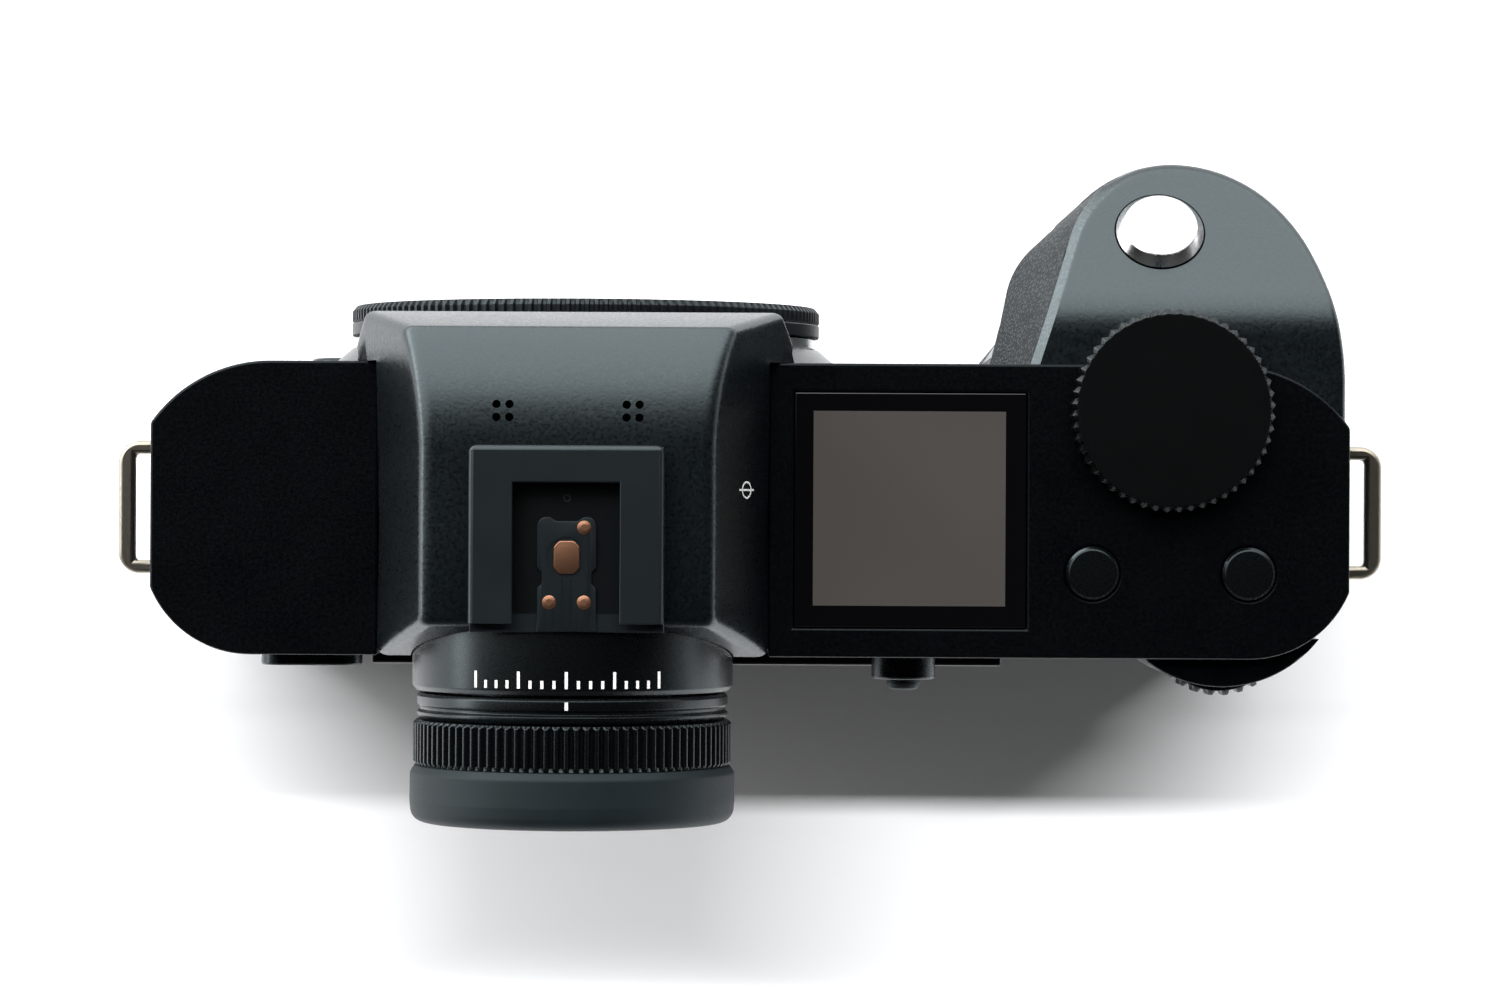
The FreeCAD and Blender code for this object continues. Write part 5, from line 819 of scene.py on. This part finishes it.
def tilted(piece, place, tilt):
    """Turn a finished mesh about x and move it to a place in mm, in its own points."""
    mesh = piece.data
    points = np.zeros(len(mesh.vertices) * 3)
    mesh.vertices.foreach_get("co", points)
    turn = np.array([
        [1, 0, 0], [0, math.cos(tilt), -math.sin(tilt)], [0, math.sin(tilt), math.cos(tilt)],
    ])
    moved = points.reshape(-1, 3) @ turn.T + np.array(place) * MM
    mesh.vertices.foreach_set("co", moved.ravel())
    mesh.update()
    return piece


button_outline = rounded([
    (0, -5, 0), (2, -5, 0.2), (2, -0.6, 0.1), (5.4, -0.6, 0.1), (5.4, 0.15, 0.12), (4.5, 1.3, 0.15),
    (4.25, 1.4, 0.1), (3.9, 1.3, 0.2), (0, 1.15, 0),
])
tilted(
    turned(
        "release_button", button_outline, (0, 0, 0), "z", button_silver, "shutter_button",
        ["shutter_button"], 120,
    ),
    BUTTON, BUTTON_TILT,
)

# %% [markdown]
# The top of the grip is the largest smooth surface in the picture. Seen from above its rim is a chain of
# arcs that run into each other without a corner, and a straight crest on the finger side. The foot, where
# it meets the leather, is a second chain. The surface climbs from the foot to the rim, turns over a round
# edge, or a flat bright facet along the crest, and then closes over the top in rings that follow the
# side profile: level behind, and sloping down towards the shutter button in front.

# %% The top of the grip
GRIP_TOP = 84.6
GRIP_FOOT = 70
GRIP_BREAK = -23.3
GRIP_BLEND = 11
LEATHER_LIP = 1.0
LEATHER_THICKNESS = 0.8
RECESS_RADIUS = 5.6
FINGER_DRAFT = 3.2


def chain(start, heading, runs):
    """Points along runs that each go on from where the last ended, in its direction.

    A run is (radius, turn in degrees, steps), an arc that turns left about the point radius to the left of
    its start, or (0, length, steps), a straight line.
    """
    place = np.array(start, float)
    angle = math.radians(heading)
    parts = [place[None]]
    for radius, amount, count in runs:
        share = np.linspace(0, 1, count + 1)[1:, None]
        if radius == 0:
            ahead = place + share * amount * np.array([math.cos(angle), math.sin(angle)])
        else:
            centre = place + radius * np.array([-math.sin(angle), math.cos(angle)])
            turn = angle + share[:, 0] * math.radians(amount)
            ahead = centre + radius * np.stack([np.sin(turn), -np.cos(turn)], -1)
            angle = turn[-1]
        parts.append(ahead)
        place = ahead[-1]
    return np.vstack(parts)


def grip_height(y):
    """Level, then a circle of GRIP_BLEND, then a straight slope that falls at the button's tilt."""
    start = GRIP_BREAK + GRIP_BLEND * math.tan(BUTTON_TILT / 2)
    end = start - GRIP_BLEND * math.sin(BUTTON_TILT)
    depth = np.clip(start - y, 0, GRIP_BLEND * math.sin(BUTTON_TILT))
    bend = GRIP_TOP - GRIP_BLEND + np.sqrt(GRIP_BLEND ** 2 - depth ** 2)
    return np.where(y > end, bend, GRIP_TOP - (GRIP_BREAK - y) * math.tan(BUTTON_TILT))


OUTER_STEPS = 70
rim = chain((-94.05, -9.7), -90, [
    (0, 4.3, 6), (40, 25, 24), (21, 20, 16), (17.6, 45, 24), (13.5, 72, 20), (0, 18.2, 28),
])
foot = chain((-94.2, -9.7), -90, [
    (0, 4.3, 6), (40.15, 25, 24), (21.15, 20, 16), (17.75, 45, 24), (14.6, 43, 8), (0, 9.8, 12),
    (10.5, 26, 8), (10.5, 10, 10), (0, 9.4, 10),
])
step = np.roll(rim, -1, 0) - np.roll(rim, 1, 0)
step[0] = rim[1] - rim[0]
step[-1] = rim[-1] - rim[-2]
inward = np.stack([-step[:, 1], step[:, 0]], -1) / np.linalg.norm(step, axis=1, keepdims=True)
rim_height = grip_height(rim[:, 1])
FLAP_START = OUTER_STEPS + 6


def grip_top():
    """The closed surface: foot, wall, edge, rings over the top; the wall stands back behind the leather."""
    index = np.arange(len(rim))
    finger = np.clip((index - FLAP_START) / 6, 0, 1)[:, None]
    behind = np.where(index > FLAP_START, 0.5, 0)[:, None] * inward
    edge = 0.9 + 0.15 * finger
    facet = np.interp(rim[:, 1:], [-27, -21], [0.5, 1])
    rings = [np.column_stack([foot + behind, np.full(len(foot), GRIP_FOOT)])]
    rings.append(np.column_stack([rim + behind, rim_height - LEATHER_LIP - 0.1]))
    rings.append(np.column_stack([rim, rim_height - LEATHER_LIP - 0.1]))
    for share in np.linspace(0, 1, 7)[:, None]:
        turn = share * np.pi / 2
        drawn = edge * ((1 - finger) * (1 - np.cos(turn)) + finger * share)
        fall = edge * ((1 - finger) * (1 - np.sin(turn)) + finger * facet * (1 - share))
        place = rim + drawn * inward
        rings.append(np.column_stack([place, grip_height(place[:, 1]) - fall[:, 0]]))
    middle = np.array([-75.0, -23.0])
    for share in np.linspace(1, 0, 40)[1:]:
        ring = middle + (place - middle) * share
        rings.append(np.column_stack([ring, grip_height(ring[:, 1])]))
    points = np.stack(rings)
    faces = grid_faces(len(rings), len(rim), False, True)
    faces.append(list(range(len(rim)))[::-1])
    piece = place_mesh(
        "grip_top", points * MM, faces, body_enamel, body_of_node["grip_cover"],
        ["grip_cover"], 32,
    )
    return cut(piece, round_cutters("button_recess", [(tuple(BUTTON), RECESS_RADIUS, 7, BUTTON_TILT)]), 32)


def finger_flap():
    """The leather on the finger side: a closed strip of its thickness, from the foot to the crest."""
    part = slice(FLAP_START, len(rim))
    share = np.linspace(0, 1, 12)[:, None, None]
    low = np.column_stack([foot, np.full(len(foot), GRIP_FOOT - 0.4)])[part]
    high = np.column_stack([rim, rim_height - LEATHER_LIP - 0.12])[part]
    outer = low + (high - low) * share
    deeper = np.column_stack([inward, np.zeros(len(rim))])[part] * LEATHER_THICKNESS
    points = np.concatenate([outer, outer[::-1] + deeper])
    faces = grid_faces(points.shape[0], points.shape[1], True, False)
    rows = np.arange(points.shape[0]) * points.shape[1]
    faces += [rows[::-1].tolist(), (rows + points.shape[1] - 1).tolist()]
    return place_mesh(
        "finger_leather", points * MM, faces, leatherette, body_of_node["leather_covering"],
        (), 40,
    )


grip_top()
finger_flap()


def finger_draft(points):
    """Below the foot the finger side leans in by FINGER_DRAFT at the base; above, it goes under the flap."""
    x, y, z = points.T
    side = np.clip((x + 64) / 4, 0, 1) * (x < -50) * np.clip((-16.9 - y) / 2, 0, 1)
    drawn = np.where(z > GRIP_FOOT + 0.1, FINGER_DRAFT / 2, FINGER_DRAFT * np.clip(1 - z / GRIP_FOOT, 0, 1))
    return np.stack([x - side * drawn, y, z], -1)


# %% [markdown]
# The tripod bush is steel with a standard camera thread of twenty turns to the inch. The thread is a
# triangle wave on the bore that moves on by one pitch each turn round the axis.

# %% The tripod bush
THREAD_PITCH = 1.27


def thread(radius, height, angle):
    """The bore cut outwards by up to 0.5 mm, shifted along the axis by the angle's share of a pitch."""
    turn = (height / THREAD_PITCH - angle / (2 * np.pi)) % 1
    inside = (radius < 2.7) & (height > 0.05) & (height < 5.9)
    return np.where(inside, 0.5 * (1 - np.abs(2 * turn - 1)), 0)


bore = np.stack([np.full(60, 2.6), np.linspace(0.06, 5.9, 60)], -1)[::-1]
bush_outline = np.vstack(
    [[(5, 0.25), (4.75, 0), (3.2, 0)], bore[::-1], [(2.6, 6), (0, 6.3), (0, 7.5), (5, 7.5)]]
)
turned(
    "tripod_bush", bush_outline, (0, 0, 0), "z", bush_steel, "camera", ["tripod_socket"], 64,
    thread, 50
)

# %% [markdown]
# The hot shoe's contact block is thin black plastic between the lips, waisted round its contacts. The
# copper pads are flat-sided discs with a slight dome.


# %% Flat pieces from an outline
def slab(name, outline, low, high, edge, material, body, nodes=()):
    """An outline in x and y carried from low to high, its top edge rounded by drawing the outline in by edge.

    Ring k of the rounding is drawn in by edge (1 - cos t) and raised by edge sin t, t from 0 to 90 degrees.
    """
    outline = np.asarray(outline, float)
    ahead = np.roll(outline, -1, 0) - np.roll(outline, 1, 0)
    area = np.sum(outline[:, 0] * np.roll(outline[:, 1], -1) - np.roll(outline[:, 0], -1) * outline[:, 1])
    inward = np.stack([-ahead[:, 1], ahead[:, 0]], -1) * np.sign(area)
    inward /= np.linalg.norm(inward, axis=1, keepdims=True)
    t = np.linspace(0, np.pi / 2, 4)
    insets = np.concatenate([[0], edge * (1 - np.cos(t))])
    heights = np.concatenate([[low], high - edge + edge * np.sin(t)])
    rings = outline[None] + inward[None] * insets[:, None, None]
    points = np.concatenate([rings, np.broadcast_to(heights[:, None, None], (*rings.shape[:2], 1))], -1)
    count = len(outline)
    faces = grid_faces(len(heights), count, False, True)
    faces.append(list(range(count))[::-1])
    faces.append(list(range((len(heights) - 1) * count, len(heights) * count)))
    return place_mesh(name, points * MM, faces, material, body, nodes, 40)


block_half = [
    (3.5, 15.6, 0.1), (3.5, 10.5, 0.4), (2.95, 10.0, 0.4), (2.95, 8.6, 0.4), (3.5, 8.1, 0.4), (3.5, 2.1, 1.1),
    (2.0, 2.1, 0.5), (1.3, 2.6, 0.6),
]
block_corners = block_half + [(-x, y, radius) for x, y, radius in reversed(block_half)]
contact_block = slab(
    "contact_block", rounded(block_corners), 104.0, 104.4, 0.1, shoe_black, "camera",
    ["hot_shoe_contact_block"],
)
MAIN_PAD = (0, 6.85)
grooves = [((x, (start + 15.7) / 2, 104.45), (0.16, 15.7 - start, 0.3), 0, "z") for x, start in (
    (0.5, 9.5), (-0.5, 9.5), (2.55, 13), (1.6, 13), (-1.2, 13), (-2.1, 13), (-2.6, 4),
)]
pocket = ((*MAIN_PAD, 104.5), 2.4, 0.5, "z")
cut(contact_block, round_cutters("contact_block_cutters", grooves + [pocket]), 40)
print("contact block", len(contact_block.data.polygons), "faces after its cuts")
main_pad = rounded([
    (1.55, 1.2, 0.5), (1.55, -1.2, 0.5), (0.9, -1.95, 0.7), (-0.9, -1.95, 0.7), (-1.55, -1.2, 0.5),
    (-1.55, 1.2, 0.5), (-0.9, 1.95, 0.7), (0.9, 1.95, 0.7),
])
slab(
    "main_contact", main_pad + np.array(MAIN_PAD), 104.2, 104.58, 0.12, main_copper, "camera",
    ["electrical_contacts"],
)
for label, x, y in (("front", -2.05, 3.35), ("left", 2.05, 12.15), ("right", -2.05, 12.15)):
    dome = rounded([(0, 104.3, 0), (0.85, 104.3, 0), (0.85, 104.5, 0.12), (0.4, 104.6, 0.2), (0, 104.6, 0)])
    turned(
        "contact_" + label, dome, (x, y, 0), "z", contact_copper, "camera",
        ["electrical_contacts"], 40
    )
detent = rounded([(0.3, 104.0, 0), (0.48, 104.0, 0.02), (0.44, 104.08, 0.02), (0.3, 104.06, 0.02)])
turned("shoe_detent", detent, (0, -0.1, 0), "z", shoe_black, "camera", (), 32)

# %% [markdown]
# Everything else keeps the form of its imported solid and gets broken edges. The table gives each node its
# finish and how wide its edges are broken, in millimetres: crisp on milled plates, softer on mouldings.


# %% Plates, covers, doors and buttons
def shoe_edges(place):
    """The shoe's outer corners are round and its outer top edges bevelled; the slot's edges stay crisp."""
    outer = abs(place.x) > 11.3 or place.y < -6.1
    if abs(place.x) > 11.3 and abs(place.y + 6.3) < 0.2 and place.z < 106.8:
        return 0.9
    return 0.6 if place.z > 106.8 and outer else None


def plate_edges(place):
    """The lip over the wheel runs out in a point that has no broken edge."""
    return 0.0 if math.hypot(place.x + 90.5, place.y - 16.7) < 2.5 and place.z < 82 else None


def glass_edges(place):
    """The rear glass has a soft rim."""
    return 0.3 if place.y > 20.5 else None


DRESSED = {
    "top_plate_left": (shoulder_enamel, 0.3),
    "top_plate_right": (shoulder_enamel, 0.3),
    "rear_cover": (body_enamel, 0.3),
    "front_cover": (body_enamel, 0.2),
    "base_plate": (body_enamel, 0.3),
    "leather_covering": (leatherette, 0.2),
    "hot_shoe": (shoe_black, 0.12),
    "top_display": (status_screen, 0.15),
    "rear_display": (back_screen, 0.15),
    "card_door": (body_enamel, 0.2),
    "port_door_lower": (rubber, 0.25),
    "port_door_upper": (rubber, 0.25),
    "mount_turret": (anodised, 0.25),
    "mount_ring": (mount_chrome, 0.15),
    "body_cap_bayonet": (moulded, 0.15),
    "lens_lock_pin": (lug_steel, 0.12),
    "mount_contact_block": (moulded, 0.12),
    "strap_lugs": (lug_steel, 0.5),
    "power_lever": (anodised, 0.25),
    "joystick_collar": (anodised, 0.3),
    # The joystick cap's paler rubber is painted light.
    "joystick_cap": (rubber_painted_lighter, 0.35),
    "battery": (battery_shell, 0.2),
    "battery_lever": (moulded, 0.2),
    "slotted_screws": (dark_screw, 0.1),
    "top_button_inner": (anodised, 0.12),
    "top_button_outer": (anodised, 0.12),
    "rear_button_lower": (moulded, 0.12),
    "rear_button_middle": (moulded, 0.12),
    "rear_button_upper": (moulded, 0.12),
    "eyepiece_button": (moulded, 0.1),
    "front_button_upper": (moulded, 0.12),
    "front_button_lower": (moulded, 0.12),
    "lens_release_button": (anodised, 0.15),
    "port_sockets": (moulded, 0.1),
    "card_slot": (moulded, 0.1),
}
OWN_WIDTHS = {"top_plate_right": plate_edges, "hot_shoe": shoe_edges, "rear_display": glass_edges}
DRAFTED = ["leather_covering", "front_cover", "base_plate"]
for node, (material, width) in DRESSED.items():
    wide = OWN_WIDTHS.get(node)
    shape = finger_draft if node in DRAFTED else None
    broken_edges(node, material, width, wide, 3 if wide else 2, shape=shape)
broken_edges("electrical_contacts", gold_pins, 0.1, keep=lambda place: place.z < 80)
print("dressed", len(DRESSED))

# %% [markdown]
# What lies inside is seen only when a door is open, the cap is off or the battery is out. Those nodes
# stay as they are packed, with the finish of their material.

# %% The inside
INSIDE = {
    "chassis": cast_alloy, "chassis_front_plate": blackened, "battery_box": moulded,
    "stabiliser_slider": cast_alloy, "shutter_unit": blackened, "shutter_curtain": blackened,
    "image_sensor": sensor_glaze,
    "sensor_cover_glass": sensor_glaze, "main_circuit_board": board_green, "viewfinder_panel": moulded,
    "eyepiece_lens": eye_glass, "joystick_plunger": anodised,
    "joystick_gimbal": anodised,
}
for node, material in INSIDE.items():
    piece = frame["nodes"][node]
    if not piece.material_slots:
        piece.data.materials.append(material)
    for slot in piece.material_slots:
        slot.link = "OBJECT"
        slot.material = material
shown = [name for name, piece in frame["nodes"].items() if not piece.hide_render]
print("packed nodes still shown", sorted(shown))

# %% [markdown]
# The picture was taken straight from above in a white studio. The camera's place, focal length and
# slight roll come from matching the shoulders, the floor and the eyepiece in one perspective.

# %% The camera
lens = bpy.data.cameras.new("studio_camera")
lens.sensor_width = 36
lens.lens = 108.5
lens.clip_start = 0.01
lens.clip_end = 50
eye = stand("studio_camera", lens)
eye.location = (-0.0215, 0, 0.6353)
eye.rotation_euler = (0, 0, math.pi + 0.0052)
bpy.context.scene.camera = eye

# %% [markdown]
# The studio is a white table. A long narrow light hangs a little ahead of the camera and throws the
# shadow, which has a crisp rear edge and soft sides. A broad softbox in front reaches two thirds of the
# way up to the zenith. Low ones stand on the left and right, and a faint one behind. Level black surfaces
# mirror the dark ceiling, and the slopes that lean forward mirror the softbox, which is how the forms read.


# %% Floor, light and surroundings
FLOOR_LIFT = 0.03


def studio_floor():
    """A white table top whose small lift for the camera, mirrors and glass keeps the object's shadow."""
    mesh = bpy.data.meshes.new("studio_floor")
    side = 4.0
    low = -0.0002
    mesh.from_pydata(
        [(-side, -side, low), (side, -side, low), (side, side, low), (-side, side, low)], [], [(0, 1, 2, 3)]
    )
    material = bpy.data.materials.new("white_table")
    material.use_nodes = True
    tree = material.node_tree
    tree.nodes.clear()
    coords = add(tree, "TexCoord").outputs["Object"]
    tone = add(tree, "TexNoise", {"Scale": 3.0, "Detail": 2}, {"Vector": coords})
    white = toned(tree, tone.outputs["Fac"], 0, 1, ("#f4f5f6", "#f8f8f9"))
    matt = add(tree, "BsdfDiffuse", {"Roughness": 0.4}, {"Color": white})
    path = add(tree, "LightPath")
    seen = add(
        tree, "Math", {"operation": "MAXIMUM"},
        {0: path.outputs["Is Camera Ray"], 1: path.outputs["Is Glossy Ray"]},
    )
    seen = add(
        tree, "Math", {"operation": "MAXIMUM"}, {
            0: seen.outputs[0], 1: path.outputs["Is Transmission Ray"]
        }
    )
    strength = add(tree, "Math", {"operation": "MULTIPLY", 1: FLOOR_LIFT}, {0: seen.outputs[0]})
    lift = add(tree, "Emission", {"Color": (1, 1, 1, 1)}, {"Strength": strength.outputs[0]})
    total = add(tree, "AddShader", links={0: matt.outputs[0], 1: lift.outputs[0]})
    add(tree, "OutputMaterial", links={"Surface": total.outputs[0]})
    mesh.materials.append(material)
    floor = stand("studio_floor", mesh)
    return floor


def rise(tree, source, low, high, start=0.0, end=1.0):
    """A smooth change from start to end while the source goes from low to high."""
    settings = {
        "interpolation_type": "SMOOTHSTEP", "From Min": low, "From Max": high, "To Min": start,
        "To Max": end
    }
    return add(tree, "MapRange", settings, {"Value": source}).outputs[0]


def surroundings(horizon, ceiling, panels):
    """A glow round the horizon, a dark ceiling, softboxes, and plain white where the camera looks.

    A panel is the side that it stands on, the least and full share of facing that side, the two heights in
    degrees between which it ends, and its strength.
    """
    world = bpy.data.worlds.new("white_studio")
    world.use_nodes = True
    tree = world.node_tree
    tree.nodes.clear()
    direction = add(tree, "TexCoord").outputs["Generated"]
    height = add(tree, "SeparateXYZ", links={"Vector": direction}).outputs["Z"]
    glow = rise(tree, height, math.sin(math.radians(10)), math.sin(math.radians(36)), horizon, ceiling)
    lit = glow
    for side, start, full, low, high, strength in panels:
        towards = add(tree, "VectorMath", {"operation": "DOT_PRODUCT", 1: side}, {0: direction})
        facing = rise(tree, towards.outputs["Value"], start, full)
        edge = rise(tree, height, math.sin(math.radians(low)), math.sin(math.radians(high)), strength, 0)
        lit = add(tree, "Math", {"operation": "MULTIPLY_ADD"}, {0: facing, 1: edge, 2: lit}).outputs[0]
    seen = add(tree, "LightPath").outputs["Is Camera Ray"]
    level = add(tree, "Mix", {3: 1.0}, {0: seen, 2: lit})
    back = add(tree, "Background", {"Color": (1, 1, 1, 1)}, {"Strength": level.outputs[0]})
    add(tree, "OutputWorld", links={"Surface": back.outputs[0]})
    bpy.context.scene.world = world


def soft_light(name, place, target, width, depth, power):
    """A rectangular area light that looks at a target."""
    data = bpy.data.lights.new(name, "AREA")
    data.shape = "RECTANGLE"
    data.size = width
    data.size_y = depth
    data.energy = power
    lamp = stand(name, data)
    lamp.visible_glossy = False
    lamp.location = place
    lamp.rotation_euler = (Vector(target) - Vector(place)).to_track_quat("-Z", "Y").to_euler()
    return lamp


SOFTBOXES = [
    ((0.3, -0.95, 0), 0.2, 0.6, 57, 67, 3.1),
    ((0.83, -0.55, 0), 0.6, 0.8, 7, 17, 5.0),
    ((-0.98, -0.2, 0), 0.7, 0.9, 7, 17, 0.5),
    ((0, 1, 0), 0.2, 0.6, 48, 60, 0.07),
]
studio_floor()
surroundings(0.12, 0.01, SOFTBOXES)
soft_light("key_strip", (-0.02, -0.375, 1.5), (-0.02, 0, 0.05), 1.25, 0.05, 30)
bpy.context.scene.view_settings.view_transform = "Standard"
